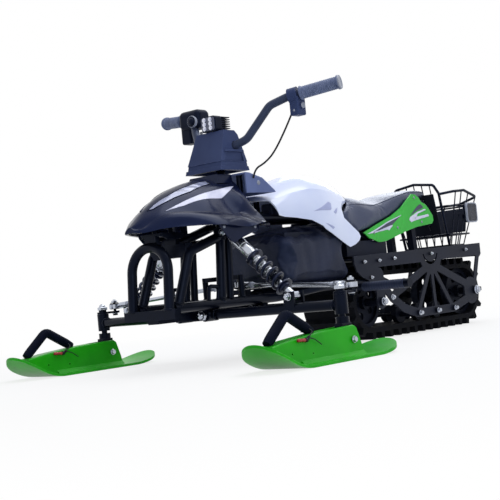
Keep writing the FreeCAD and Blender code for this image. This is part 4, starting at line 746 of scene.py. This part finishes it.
# %% Rings along the joints of the frame
# x, y, z, the tube's direction and its radius
WELDS = (
    (215, 65, 155, (0, 0, 1), 12.8), (184, 65, 166, (-0.3, 0, 1), 12.8), (23, 65, 168, (-0.1, 0, 1), 12.8),
    (6, 65, 322, (-0.1, 0, 1), 12.8), (-11, 65, 167, (-0.1, 0, 1), 10.4), (-24, 65, 335, (-0.1, 0, 1), 10.4),
    (-694, 65, 247, (0, 0, 1), 12.8), (4, 412, 128, (0.03, 1, 0), 12.6), (-6, 411, 128, (-0.35, 1, 0), 12.6),
    (48, 64, 129, (-0.1, 1, 0), 12.8), (-142, 64, 129, (0.38, 1, 0), 12.8), (50, 52, 156, (0, 1, 0), 9.2),
    (-145, 52, 156, (0, 1, 0), 9.2), (60, 52, 314, (0, 1, 0), 9.2), (-300, 52, 378, (0, 1, 0), 9.2))
# x and y of the ends of an arm's slanting brace
BRACE_WELDS = ((-72, 204), (19, 237))
# x and z of upright stubs, then radius, bead and ripples
STUB_WELDS = ((72, 167, 5.2, 1.4, 14), (38, 167, 5.2, 1.4, 14), (-59, 168, 8.2, 1.6, 18))

beads = bmesh.new()
for side in (1, -1):
    for x, y, z, axis, radius in WELDS:
        weld(beads, at(x, side * y, z), axis, radius)
    for x, y in BRACE_WELDS:
        weld(beads, at(x, side * y, 128), (1, 0.4 * side, 0), 8.4)
    for x, z, radius, bead, ripples in STUB_WELDS:
        weld(beads, at(x, side * 65, z), UPWARD, radius, bead, ripples)
piece("frame_welds", beads, black_coat, "chassis", smooth_angle=70)

# %% [markdown]
# ## Vinyl over a box: the battery cover
# The bag over the battery is cut a little larger than what it holds, so it sags and wrinkles.
# The start is a rounded block a few millimetres smaller than the CAD cover, with its front top
# edge drooping as in use. Cloth then grows by a few percent under light pressure: cloth that is
# too large for its shape buckles by itself, which no painted wrinkle can match. Each point may
# only move so far, and only a little outwards, so that the bag keeps clear of the frame.

# %% Helpers that let cloth settle a closed mesh
def shown(made):
    """An object with its modifiers worked out."""
    return made.evaluated_get(bpy.context.evaluated_depsgraph_get())


CLOTH = {"tension_stiffness": 8, "compression_stiffness": 8, "shear_stiffness": 3, "bending_stiffness": 0.3,
         "quality": 6}


def settle(made, pressure, growth, cap, outward, frames, held=None):
    """Runs cloth on a closed mesh and keeps its result, with a limit on each point's way."""
    scene = bpy.context.scene
    rest = [v.co.copy() for v in made.data.vertices]
    normals = [v.normal.copy() for v in made.data.vertices]
    cloth = made.modifiers.new("Cloth", "CLOTH")
    cloth.settings.use_pressure = True
    cloth.settings.uniform_pressure_force = pressure
    cloth.settings.shrink_min = -growth
    cloth.settings.effector_weights.gravity = 0.0
    for key, value in CLOTH.items():
        setattr(cloth.settings, key, value)
    cloth.point_cache.frame_start = 1
    cloth.point_cache.frame_end = frames
    for f in range(1, frames + 1):
        scene.frame_set(f)
    moved = [v.co.copy() for v in shown(made).data.vertices]
    made.modifiers.remove(cloth)
    scene.frame_set(1)
    furthest = 0.0
    for v, start, end, normal in zip(made.data.vertices, rest, moved, normals):
        way = end - start
        if way.length > cap:
            way *= cap / way.length
        out = way.dot(normal)
        if out > outward:
            way -= normal * (out - outward)
        if held:
            way *= held(start)
        v.co = start + way
        furthest = max(furthest, way.length)
    print(made.name, "settled; furthest", round(furthest / MM, 1), "mm")


print("cloth settings:", CLOTH)

# %% A block of even squares, and its last rounding
def block_mesh(low, high, cells, radius, shape):
    """A closed rounded block of even squares; shape moves each point afterwards."""
    mesh = bmesh.new()
    bmesh.ops.create_cube(mesh, size=1.0)
    bmesh.ops.subdivide_edges(mesh, edges=mesh.edges, cuts=cells, use_grid_fill=True)
    for v in mesh.verts:
        spot = Vector([low[i] + (v.co[i] + 0.5) * (high[i] - low[i]) for i in range(3)])
        inner = Vector([min(max(spot[i], low[i] + radius), high[i] - radius) for i in range(3)])
        away = spot - inner
        if away.length > 1e-9:
            spot = inner + away.normalized() * radius
        v.co = shape(spot)
    return mesh


def subdivided(made):
    """Rounds a soft piece with one subdivision that stays a modifier."""
    step = made.modifiers.new("rounding", "SUBSURF")
    step.levels = 1
    step.render_levels = 1


print("block helper ready")

# %% The form of the battery cover
cover_low, cover_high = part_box("battery_cover")
INSET = 0.002
TOP_INSET = 0.004
COVER_CELLS = 44
COVER_CORNER = 0.026
FRONT_DROOP = 0.046
SIDE_DROOP = 0.020
TUG = 0.0035
SAG = 0.004
FOOT_HEIGHT = 0.02
low = cover_low + Vector((INSET, INSET, 0.0))
high = cover_high - Vector((INSET, INSET, TOP_INSET))
middle = (low + high) / 2


def cover_form(p):
    """Leans the walls in, lets the top droop to its front and sides, and starts the folds."""
    up = (p.z - low.z) / (high.z - low.z)
    forward = (p.x - low.x) / (high.x - low.x)
    aside = abs(p.y - middle.y) / (high.y - middle.y)
    droop = FRONT_DROOP * max(forward - 0.45, 0.0) ** 1.3 + SIDE_DROOP * aside ** 2
    q = Vector((middle.x + (p.x - middle.x) * (1 - 0.02 * up), middle.y + (p.y - middle.y) * (1 - 0.04 * up),
                p.z - droop * up ** 2))
    tug = noise.noise(Vector((p.x * 26, p.y * 20, p.z * 5 + 3))) * TUG
    sag = noise.noise(Vector((p.x * 9 + 5, p.y * 11, p.z * 14))) * SAG
    wall = min(up * 3, 1) * 0.8 + 0.2
    return q + Vector((p.x - middle.x, p.y - middle.y, 0)).normalized() * (tug + sag - 0.001) * wall


def foot_held(p):
    """How far a point may follow the cloth: not at all at the foot, freely a little above it."""
    return min(1.0, max(0.0, (p.z - low.z) / FOOT_HEIGHT))


print("bag from", tuple(round(v, 3) for v in low), "to", tuple(round(v, 3) for v in high))

# %% The battery cover
bag_mesh = block_mesh(low, high, COVER_CELLS, COVER_CORNER, cover_form)
bag = piece("battery_cover_vinyl", bag_mesh, cover_vinyl, "chassis", smooth_angle=180)
settle(bag, pressure=1.6, growth=0.05, cap=0.007, outward=0.003, frames=18, held=foot_held)
subdivided(bag)
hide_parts("battery_cover")

# %% [markdown]
# ## The seat
# A moulded foam pad under tight vinyl. Its outline is the CAD solid's, so that solid is copied,
# remeshed into small even squares, drawn in a little and puffed up again by cloth pressure. Cloth
# carries the tension from edge to edge and leaves the gentle crown a stretched cover has.

# %% Copy and remesh
def even_copy(node_name, name, size, draw_in):
    """A closed copy of a CAD node in even squares, drawn in along its normals."""
    made = bpy.data.objects.new(name, nodes[node_name].data.copy())
    bpy.context.scene.collection.objects.link(made)
    remesh = made.modifiers.new("remesh", "REMESH")
    remesh.mode = "VOXEL"
    remesh.voxel_size = size
    ease = made.modifiers.new("ease", "SMOOTH")
    ease.factor = 0.5
    ease.iterations = 4
    data = bpy.data.meshes.new_from_object(shown(made))
    bpy.data.objects.remove(made)
    for v in data.vertices:
        v.co -= v.normal * draw_in
    mesh = bmesh.new()
    mesh.from_mesh(data)
    bpy.data.meshes.remove(data)
    return mesh


print("seat node has", len(nodes["seat"].data.polygons), "faces before the remesh")

# %% The seat cushion
SEAT_SQUARE = 0.005
SEAT_DRAWN_IN = 0.0022
seat_mesh = even_copy("seat", "seat_start", SEAT_SQUARE, SEAT_DRAWN_IN)
seat = piece("seat_cushion", seat_mesh, seat_vinyl, "chassis", smooth_angle=180)
settle(seat, pressure=4.0, growth=0.0, cap=0.005, outward=0.0028, frames=14)
subdivided(seat)
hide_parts("seat")

# %% [markdown]
# ## Seams on the seat
# Two welts run along the pad where its top panel is sewn to its sides. On a photograph they are
# thin raised lines. A ray shot at the cushion from outside finds where the line lies, so the welt
# follows the finished shape and not the CAD solid.

# %% Rays that find a surface
def surface_of(made):
    """A tree of an object's faces, for finding points on it."""
    final = shown(made)
    data = final.to_mesh()
    data.transform(made.matrix_world)
    tree = BVHTree.FromPolygons([v.co for v in data.vertices], [p.vertices for p in data.polygons])
    final.to_mesh_clear()
    return tree


def touch(tree, start, way):
    """The first point of a surface along a ray, and its normal, or None."""
    spot, normal = tree.ray_cast(start, Vector(way).normalized())[:2]
    return (spot, normal) if spot is not None else None


print("ray helpers ready")

# %% Welts
WELT_POINTS = 41
WELT_STEP = 11.2
cushion = surface_of(seat)
welts = bmesh.new()
for side in (1, -1):
    line = []
    for i in range(WELT_POINTS):
        x = -560 - i * WELT_STEP
        aim = at(x, 0, 372 + 42 * min(max((-x - 690) / 200, 0), 1))
        outside = Vector((0, side * 0.3, 0.13))
        hit = touch(cushion, aim + outside, -outside)
        if hit:
            line.append(hit[0] + hit[1] * 0.0003)
    carried(welts, line, 1.5, sides=8)
piece("seat_welts", welts, seat_vinyl, "chassis")

# %% [markdown]
# ## Grips
# A rubber grip is a sleeve with narrow rings round it, a flange towards the switches and a thicker
# end with a pale cap. The rings catch light one by one, so they are turned, not painted.

# %% Ringed grips with their end caps
GRIP_IN = (-192.7, 219.0, 689.4)
GRIP_OUT = (-229.5, 320.0, 702.0)
GRIP_RINGS = 17
grips = bmesh.new()
caps = bmesh.new()
for side in (1, -1):
    start = on_side(GRIP_IN, side)
    end = on_side(GRIP_OUT, side)
    way = (end - start).normalized()
    reach = (end - start).length / MM
    profile = [(0.2, 17.0), (1.0, 19.2), (4.6, 19.4), (6.0, 17.2)]
    pitch = (reach - 14) / GRIP_RINGS
    for i in range(GRIP_RINGS):
        a = 8 + i * pitch
        profile += [(a, 15.9), (a + 0.9, 16.9), (a + pitch - 1.9, 16.9), (a + pitch - 1.0, 15.9)]
    profile += [(reach - 4, 16.6), (reach - 2, 19.2), (reach + 1.4, 19.4)]
    turned(grips, profile, start, way, 36)
    turned(caps, [(reach + 1.4, 18.9), (reach + 4.4, 19.0), (reach + 5.6, 18.2), (reach + 5.8, 12.0),
                  (reach + 5.2, 11.0)], start, way, 36)
rubber = piece("ringed_grips", grips, grip_rubber, "steering")
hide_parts("grips")
piece("grip_end_caps", caps, pale_rim, "steering")

# %% [markdown]
# ## Lifting handles on the skis
# Each ski has a bow of steel rod in a thick foam sleeve. Foam gathers on the inside of a bend and
# is squeezed where it ends on the ski, so the sleeve's radius changes along its path.

# %% Foam sleeves
FOAM_RADIUS = 12.3
FOAM_STEP = 0.004
HANDLE = ((285, 427, 61), (212, 427, 122), (128, 427, 75.5))
for side, word in SIDES:
    path = eased([on_side(spot, side) for spot in HANDLE], 20, steps=14)
    fine_path = []
    for a, b in zip(path[:-1], path[1:]):
        parts = max(1, int((b - a).length / FOAM_STEP))
        fine_path += [a.lerp(b, k / parts) for k in range(parts)]
    fine_path.append(path[-1])
    widths = []
    for i in range(len(fine_path)):
        t = i / (len(fine_path) - 1)
        pinch = 1.0 - 0.12 * math.exp(-(t / 0.05) ** 2) - 0.16 * math.exp(-((1 - t) / 0.05) ** 2)
        bend = 0.35 * math.cos(i * 1.9) * math.exp(-((t - 0.5) / 0.12) ** 2)
        widths.append(FOAM_RADIUS * pinch + bend)
    sleeve = bmesh.new()
    carried(sleeve, fine_path, widths, sides=24)
    made = piece("foam_sleeve_" + word, sleeve, foam, "runner_" + word, smooth_angle=60)
    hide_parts("ski_handle_" + word)

# %% [markdown]
# ## Ties and clips on the skis
# A cable tie holds a small red clip at the foot of each handle, with its tail left long. Such
# things are a few millimetres wide, and still the first a viewer notices on a plain green ski.

# %% A cable tie, its head and the red clip
CLIP = [(0, 3.0), (1, 4.0), (9, 4.1), (10, 3.4), (13, 3.4), (14, 4.1), (25, 4.1), (27, 3.2), (28, 1.5)]
for side, word in SIDES:
    y = side * STANCE
    ties = bmesh.new()
    strap = eased([at(142, y - 16, 76), at(146, y - 6, 84), at(146, y + 12, 83), at(150, y + 24, 76),
                   at(170, y + 25.5, 65)], 6)
    carried(ties, strap, 1.4, sides=8)
    turned(ties, [(0, 2.8), (1, 3.6), (7, 3.6), (8, 2.6)], at(166, y + 25.5, 67), (0.75, 0.1, -0.6), 6)
    tail = eased([at(170, y + 27, 65), at(152, y + 30.5, 59), at(131, y + 32, 45)], 10)
    carried(ties, tail, 1.2, sides=8)
    turned(ties, [(0, 4.2), (1, 5.2), (7, 5.2), (8, 4.2)], at(176, y + 27.5, 60), (1, 0, 0.05), 18)
    piece("cable_tie_" + word, ties, cable_rubber, "runner_" + word)
    clip = bmesh.new()
    turned(clip, CLIP, at(184, y + 27.5, 60), (1, 0, 0.06), 18)
    piece("red_clip_" + word, clip, red_clip, "runner_" + word)

# %% [markdown]
# ## Films on the panels
# The colour patches are thin films, so they follow the panel below them: printed marks on the tail
# panels and the cowl, and painted shade in the creases of the tank. An outline drawn in side view is
# cut into small squares, and each point is dropped onto the panel by a ray. It then stands a few
# tenths of a millimetre proud, with a thin edge of its own. The wedge on the cowl is given as points
# in space instead, and its rays come slanting down from outside.

# %% Drop a flat outline onto a panel
FILM_THICK = 0.00025
RAY_START = 0.2


def film(name, outline, lift, onto, way, material, square=0.004):
    """A thin patch on a CAD node: outline points lie before it, and rays along way place them."""
    way = Vector(way).normalized()
    mesh = bmesh.new()
    mesh.faces.new([mesh.verts.new(p) for p in outline])
    bmesh.ops.triangulate(mesh, faces=mesh.faces)
    for cut_axis in frame_on(way)[1:]:
        values = [v.co.dot(cut_axis) for v in mesh.verts]
        place = min(values) + square
        while place < max(values):
            bmesh.ops.bisect_plane(mesh, geom=mesh.verts[:] + mesh.edges[:] + mesh.faces[:], dist=1e-6,
                                   plane_co=cut_axis * place, plane_no=cut_axis)
            place += square
    tree = surface_of(nodes[onto])
    missed = 0
    for v in mesh.verts:
        hit = touch(tree, v.co - way * RAY_START, way)
        if hit:
            v.co = hit[0] + (hit[1] if hit[1].dot(way) < 0 else -hit[1]) * lift
        else:
            missed += 1
    made = piece(name, mesh, material, "chassis", smooth_angle=60)
    shell = made.modifiers.new("film", "SOLIDIFY")
    shell.thickness = FILM_THICK
    shell.offset = 1.0
    if missed:
        print(name, missed, "points had nothing below them")


def side_outline(points, side, y):
    """Side-view points in millimetres, in front of the left or the right flank."""
    return [at(x, side * y, z) for x, z in points[::side]]


print("a film is", FILM_THICK / MM, "mm thick")

# %% Arrows and recesses on the tail panels
ARROW_PALE = ((-603, 315), (-650, 318), (-713, 326), (-722, 323), (-744, 337), (-740, 345), (-770, 355),
              (-800, 371), (-716, 350), (-650, 328))
ARROW_NAVY = ((-642, 321), (-670, 325), (-715, 335), (-741, 340), (-738, 346), (-762, 355), (-790, 366),
              (-716, 346))
RECESS = ((-846, 365), (-861, 371), (-890, 382), (-924, 390), (-930, 394), (-913, 404), (-892, 396),
          (-872, 383))
BAND = ((-840, 354), (-846, 362), (-889, 378), (-938, 388), (-943, 384), (-894, 373), (-866, 361),
        (-866, 357), (-955, 371), (-959, 364), (-872, 351), (-852, 346))
# name, outline, distance from the panel and finish
TAIL_FILMS = (("arrow_edge_", ARROW_PALE, 0.0002, pale_film), ("arrow_heart_", ARROW_NAVY, 0.0006, navy_film),
              ("recess_", RECESS, 0.0002, navy_film), ("recess_band_", BAND, 0.0004, pale_film))
for side, word in SIDES:
    for label, outline, lift, ink in TAIL_FILMS:
        film(label + word, side_outline(outline, side, 130.0), lift, "tail_panels", (0, -side, 0), ink)

# %% Painted shade for the creases on the tank
NOTCH = ((-371, 350), (-384, 348), (-399, 343), (-412, 337), (-402, 332), (-392, 339))
SCOOP = ((-326, 385), (-367, 397), (-404, 412), (-416, 407), (-412, 391), (-405, 387), (-365, 387))
DIMPLE = ((-420, 381), (-434, 390), (-448, 395), (-438, 382), (-429, 376))
TANK_SHADE_FILMS = (("tank_notch_", NOTCH), ("tank_scoop_", SCOOP), ("tank_dimple_", DIMPLE))
for side, word in SIDES:
    for label, outline in TANK_SHADE_FILMS:
        film(label + word, side_outline(outline, side, 170.0), 0.0002, "tank_shell", (0, -side, 0),
             painted_shade_film, square=0.003)

# %% The pale wedge on each flank of the cowl
WEDGE = ((189, 53, 396), (146, 61, 412), (100, 71, 429), (20, 71, 446), (-54, 71, 455), (-25, 83, 441),
         (17, 91, 426), (70, 83, 418), (141, 73, 407))
for side, word in SIDES:
    outline = [at(x + 20, side * (y + 50), z + 60) for x, y, z in WEDGE[::side]]
    film("cowl_wedge_" + word, outline, 0.0003, "front_cowl", (-0.28, -side * 0.62, -0.74), pale_film)

# %% [markdown]
# ## Work lamp and reflectors
# Six round cups sit on the lamp's dark pane in two columns, each with a small pale emitter. The
# side reflector has a pale rim round a field of prisms. Both read as one shape from afar, yet the
# cups' rims are what makes the lamp look like a lamp.

# %% Cups in the work lamp
LAMP_X = -58.2
LAMP_Z = 637.5
CUP = [(0, 6.4), (2.2, 6.4), (2.6, 5.9), (2.2, 5.3), (0.9, 3.4), (0.5, 1.8)]
lamp_cups = bmesh.new()
emitters = bmesh.new()
for column in (-11.0, 11.0):
    for row in (-11.5, 0.0, 11.5):
        spot = at(LAMP_X, column, LAMP_Z + row)
        turned(lamp_cups, CUP, spot, FORWARD, 24)
        turned(emitters, [(0.4, 1.9), (1.1, 1.6), (1.3, 0.6)], spot, FORWARD, 12)
piece("lamp_cups", lamp_cups, cup_silver, "steering")
piece("lamp_emitters", emitters, pale_film, "steering")

# %% Rims and prisms of the side reflectors
REFLECTOR = (-1175, 370)
# half the width, corner radius and distance from the middle plane, from the back to the front
RIM = ((33.4, 12.4, 131.0), (33.4, 12.4, 136.6), (32.2, 11.4, 138.4), (30.2, 10.0, 138.4), (29.2, 9.2, 137.2))
FIELD = ((29.0, 9.0, 137.0), (28.6, 8.8, 137.9), (20.0, 6.0, 138.1))


def rounded_square(half, corner, y, steps=8):
    """Points of a rounded square in side view, round the reflector's middle."""
    points = []
    for sx, sz, start in ((1, 1, 0.0), (-1, 1, 0.5), (-1, -1, 1.0), (1, -1, 1.5)):
        for i in range(steps + 1):
            a = (start + 0.5 * i / steps) * math.pi
            points.append(at(REFLECTOR[0] + sx * (half - corner) + math.cos(a) * corner, y,
                             REFLECTOR[1] + sz * (half - corner) + math.sin(a) * corner))
    return points


rims = bmesh.new()
fields = bmesh.new()
for side in (1, -1):
    for mesh, loops in ((rims, RIM), (fields, FIELD)):
        bridge(mesh, [[mesh.verts.new(p) for p in rounded_square(half, corner, side * y)]
                      for half, corner, y in loops])
piece("reflector_rims", rims, pale_rim, "chassis")
piece("reflector_fields", fields, prism_grey, "chassis")

# %% [markdown]
# ## The switch cable
# A thin cable leaves the switch block on the left of the bar, hangs down beside it and goes into
# the console. A NURBS curve gives its smooth line, and the tube is built on points read from that
# curve. It is then freed from the bar and stays where it was built.

# %% Cable from the switch into the console
CABLE = ((-188, 189.4, 643), (-174, 180, 610), (-143, 152, 540), (-130, 126, 515), (-112, 104, 502),
         (-104, 104, 478))
CABLE_RADIUS = 2.5
route = bpy.data.curves.new("switch_route", "CURVE")
route.dimensions = "3D"
spline = route.splines.new("NURBS")
spline.points.add(len(CABLE) - 1)
for point, spot in zip(spline.points, CABLE):
    point.co = (*at(*spot), 1.0)
spline.order_u = 3
spline.use_endpoint_u = True
spline.resolution_u = 12
route_object = bpy.data.objects.new("switch_route", route)
bpy.context.scene.collection.objects.link(route_object)
line = bpy.data.meshes.new_from_object(shown(route_object))
route_points = [v.co.copy() for v in line.vertices]
bpy.data.objects.remove(route_object)
lead_mesh = bmesh.new()
carried(lead_mesh, route_points, CABLE_RADIUS, sides=14)
lead = piece("switch_lead", lead_mesh, cable_rubber, "steering", smooth_angle=60)
lead.parent = None
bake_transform(lead)
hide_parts("switch_cable")

# %% [markdown]
# ## Small hardware on shells and controls
# Panels are held by screws with a low domed head, the throttle has a thumb paddle under a ringed
# dome, and the switch block carries a small pale key. A few turned parts each are enough.

# %% Screws of the panels
def truss_screw(mesh, start, axis, radius):
    """Adds a wide and low domed head."""
    profile = [(-1.0, radius), (0.6, radius), (1.6, radius * 0.86), (2.3, radius * 0.55), (2.4, radius * 0.3)]
    turned(mesh, profile, start, axis, 22)


# x, y, z and head radius
SCREWS = ((-126, 101, 466, 6.5), (-640, 101.6, 318, 4.2), (-770, 101.6, 331, 4.2), (-912, 101.6, 346, 4.2),
          (-880, 101.6, 424, 4.2), (80, 149.6, 347, 4.6), (-38, 149.6, 345, 4.6))
panel_screws = bmesh.new()
for side in (1, -1):
    for x, y, z, radius in SCREWS:
        truss_screw(panel_screws, at(x, side * y, z), (0, side, 0), radius)
    truss_screw(panel_screws, at(-1086, side * 60, 300), FORWARD, 4.0)
piece("panel_screws", panel_screws, dull_zinc, "chassis")

# %% Dome ring, paddle and keys
controls = bmesh.new()
turned(controls, [(-2, 16.6), (4.6, 16.6), (5.8, 15.8), (6.0, 13.6), (5.2, 13.2)], at(-134, -126, 670),
       FORWARD, 36)
piece("throttle_dome_ring", controls, pale_rim, "steering")
paddle = bmesh.new()
carried(paddle, eased([at(-176, -160, 640), at(-206, -166, 636), at(-226, -182, 650)], 8), 5.5, sides=12)
piece("throttle_paddle", paddle, black_satin, "steering")
key = bmesh.new()
turned(key, [(0, 8.2), (2.6, 8.0), (3.8, 6.8), (4.2, 3.6)], at(-194, 222, 657), (0, 1, 0), 28)
turned(key, [(0, 3.4), (1.4, 3.2), (1.8, 2.2)], at(-176.4, 206, 645), FORWARD, 18)
piece("switch_keys", key, pale_rim, "steering")

# %% [markdown]
# ## Foot pegs
# The pegs are bare tube in CAD. The real ones have a ribbed rubber sleeve pushed over the tube, with
# a thicker lip at its end, so a boot with snow on it does not slide off.

# %% Ribbed sleeves on the pegs
PEG_ROOT = (-500, 143.6, 160)
profile = [(0, 12.2), (1.5, 13.3)]
for i in range(15):
    a = 4 + i * 8.6
    profile += [(a, 13.1), (a + 1, 13.5), (a + 6, 13.5), (a + 7, 13.1)]
profile += [(136, 13.7), (138, 14.0), (141, 14.0), (142, 13.0)]
sleeves = bmesh.new()
for side in (1, -1):
    turned(sleeves, profile, on_side(PEG_ROOT, side), (0, side, 0), 28)
piece("footpeg_sleeves", sleeves, peg_rubber, "chassis")

# %% [markdown]
# ## Clamps of the basket
# The basket hangs on the seat's leaning stay by four saddle clamps. Each is a short strap bent half
# round a wire, and is made of five thin bars side by side.

# %% Saddle clamps
STAY_LEAN = 45 / 202
CLAMP_RADIUS = 4.6
clamps = bmesh.new()
for y in (-30, 30):
    for z in (320, 430):
        x = -1092 + STAY_LEAN * (z - 266)
        angles = [i * math.pi / 8 - math.pi / 2 for i in range(9)]
        arc = [at(x - CLAMP_RADIUS * math.cos(a), y + CLAMP_RADIUS * math.sin(a), z) for a in angles]
        for rise in (-4, -2, 0, 2, 4):
            carried(clamps, [p + UPWARD * rise * MM for p in arc], 1.3, sides=8)
piece("basket_clamps", clamps, dull_zinc, "chassis")

# %% [markdown]
# ## Headlight surrounds
# The silver windows sit in the cowl with a thin dark gasket round them. A narrow bead laid along the
# window's outline, dropped onto the cowl by rays, hides the joint as the real gasket does.

# %% Gaskets round the headlight windows
WINDOW = ((206, 12), (148, 24), (60, 34), (14, 38), (17, 55), (94, 55), (158, 38), (196, 24))
GASKET_OUT = 1.6
GASKET_RADIUS = 1.4
ABOVE_COWL = 600
cowl_tree = surface_of(nodes["front_cowl"])
gasket = bmesh.new()
corners = [Vector((x, y, 0)) for x, y in WINDOW]
centre = sum(corners, Vector()) / len(corners)
outline = []
for a, b in zip(corners, corners[1:] + corners[:1]):
    steps = max(2, int((b - a).length / 8))
    outline += [a.lerp(b, k / steps) for k in range(steps)]
for side in (1, -1):
    line = []
    for p in outline:
        q = p + (p - centre).normalized() * GASKET_OUT
        hit = touch(cowl_tree, at(q.x, side * q.y, ABOVE_COWL), -UPWARD)
        if hit:
            line.append(hit[0] + hit[1] * 0.0002)
    line.append(line[0])
    carried(gasket, line, GASKET_RADIUS, sides=8)
piece("headlight_gaskets", gasket, black_satin, "chassis", smooth_angle=70)

# %% [markdown]
# ## Studio
# The floor is pale and plain, and keeps the machine's shadow. For the camera, for reflections and
# for clear parts the surroundings are white, while the light on the object stays at a level where
# a colour renders about as it is written. A wide soft lamp overhead shapes the tank and the seat.

# %% Helpers for the studio
def area_lamp(name, place, aim, size, power, colour):
    """A square soft lamp that looks at a point."""
    data = bpy.data.lights.new(name, "AREA")
    data.size = size
    data.energy = power
    data.color = colour
    made = bpy.data.objects.new(name, data)
    made.location = place
    made.rotation_euler = (Vector(aim) - Vector(place)).to_track_quat("-Z", "Y").to_euler()
    bpy.context.scene.collection.objects.link(made)


def seen_directly(tree):
    """1 for camera, glossy and transmission rays, else 0."""
    rays = add_node(tree, "ShaderNodeLightPath").outputs
    seen = rays["Is Camera Ray"]
    for kind in ("Is Glossy Ray", "Is Transmission Ray"):
        seen = add_node(tree, "ShaderNodeMath", {0: seen, 1: rays[kind]}, operation="MAXIMUM").outputs[0]
    return seen


def empty_tree(owner):
    """The node tree of a material or a world, cleared."""
    owner.use_nodes = True
    owner.node_tree.nodes.clear()
    return owner.node_tree


print("studio helpers ready")

# %% The floor
FLOOR_RADIUS = 9.0
FLOOR_GREY = (0.9, 0.9, 0.9, 1.0)
floor_mesh = bmesh.new()
bmesh.ops.create_circle(floor_mesh, cap_ends=True, segments=96, radius=FLOOR_RADIUS)
floor_data = bpy.data.meshes.new("studio_floor")
floor_mesh.to_mesh(floor_data)
floor_mesh.free()
floor = bpy.data.objects.new("studio_floor", floor_data)
floor.location.z = -0.0004
bpy.context.scene.collection.objects.link(floor)
floor_material = bpy.data.materials.new("studio_floor")
tree = empty_tree(floor_material)
matt = add_node(tree, "ShaderNodeBsdfDiffuse", {"Color": FLOOR_GREY})
bright = add_node(tree, "ShaderNodeEmission", {"Color": WHITE, "Strength": 1.0})
away = add_node(tree, "ShaderNodeVectorMath", {0: object_space(tree)}, operation="LENGTH")
share = product(tree, seen_directly(tree), remap(tree, away.outputs["Value"], 0.5, 2.2, 0.72, 1.0))
both = add_node(tree, "ShaderNodeMixShader", {0: share, 1: matt.outputs[0], 2: bright.outputs[0]})
add_node(tree, "ShaderNodeOutputMaterial", {"Surface": both.outputs[0]})
floor_data.materials.append(floor_material)
print("floor", 2 * FLOOR_RADIUS, "m across")

# %% World and lamps
SKYLIGHT = (0.86, 0.90, 1.0, 1.0)
SKYLIGHT_STRENGTH = 0.55
# name, place, aim, size, power and colour
LAMPS = (("overhead", (-0.3, 0.4, 2.6), (0.0, 0.0, 0.3), 2.2, 38.0, (1.0, 1.0, 1.0)),
         ("behind", (-2.2, -1.2, 1.7), (0.0, 0.0, 0.4), 1.2, 16.0, (0.9, 0.94, 1.0)),
         ("front_left", (2.0, 2.6, 1.3), (0.1, 0.1, 0.3), 1.4, 14.0, (0.94, 0.96, 1.0)))
world = bpy.data.worlds.new("studio")
bpy.context.scene.world = world
tree = empty_tree(world)
fill = add_node(tree, "ShaderNodeBackground", {"Color": SKYLIGHT, "Strength": SKYLIGHT_STRENGTH}).outputs[0]
white = add_node(tree, "ShaderNodeBackground", {"Color": WHITE, "Strength": 1.0}).outputs[0]
both = add_node(tree, "ShaderNodeMixShader", {0: seen_directly(tree), 1: fill, 2: white})
add_node(tree, "ShaderNodeOutputWorld", {"Surface": both.outputs[0]})

for lamp in LAMPS:
    area_lamp(*lamp)
bpy.context.scene.view_settings.view_transform = "Standard"
print("studio ready")
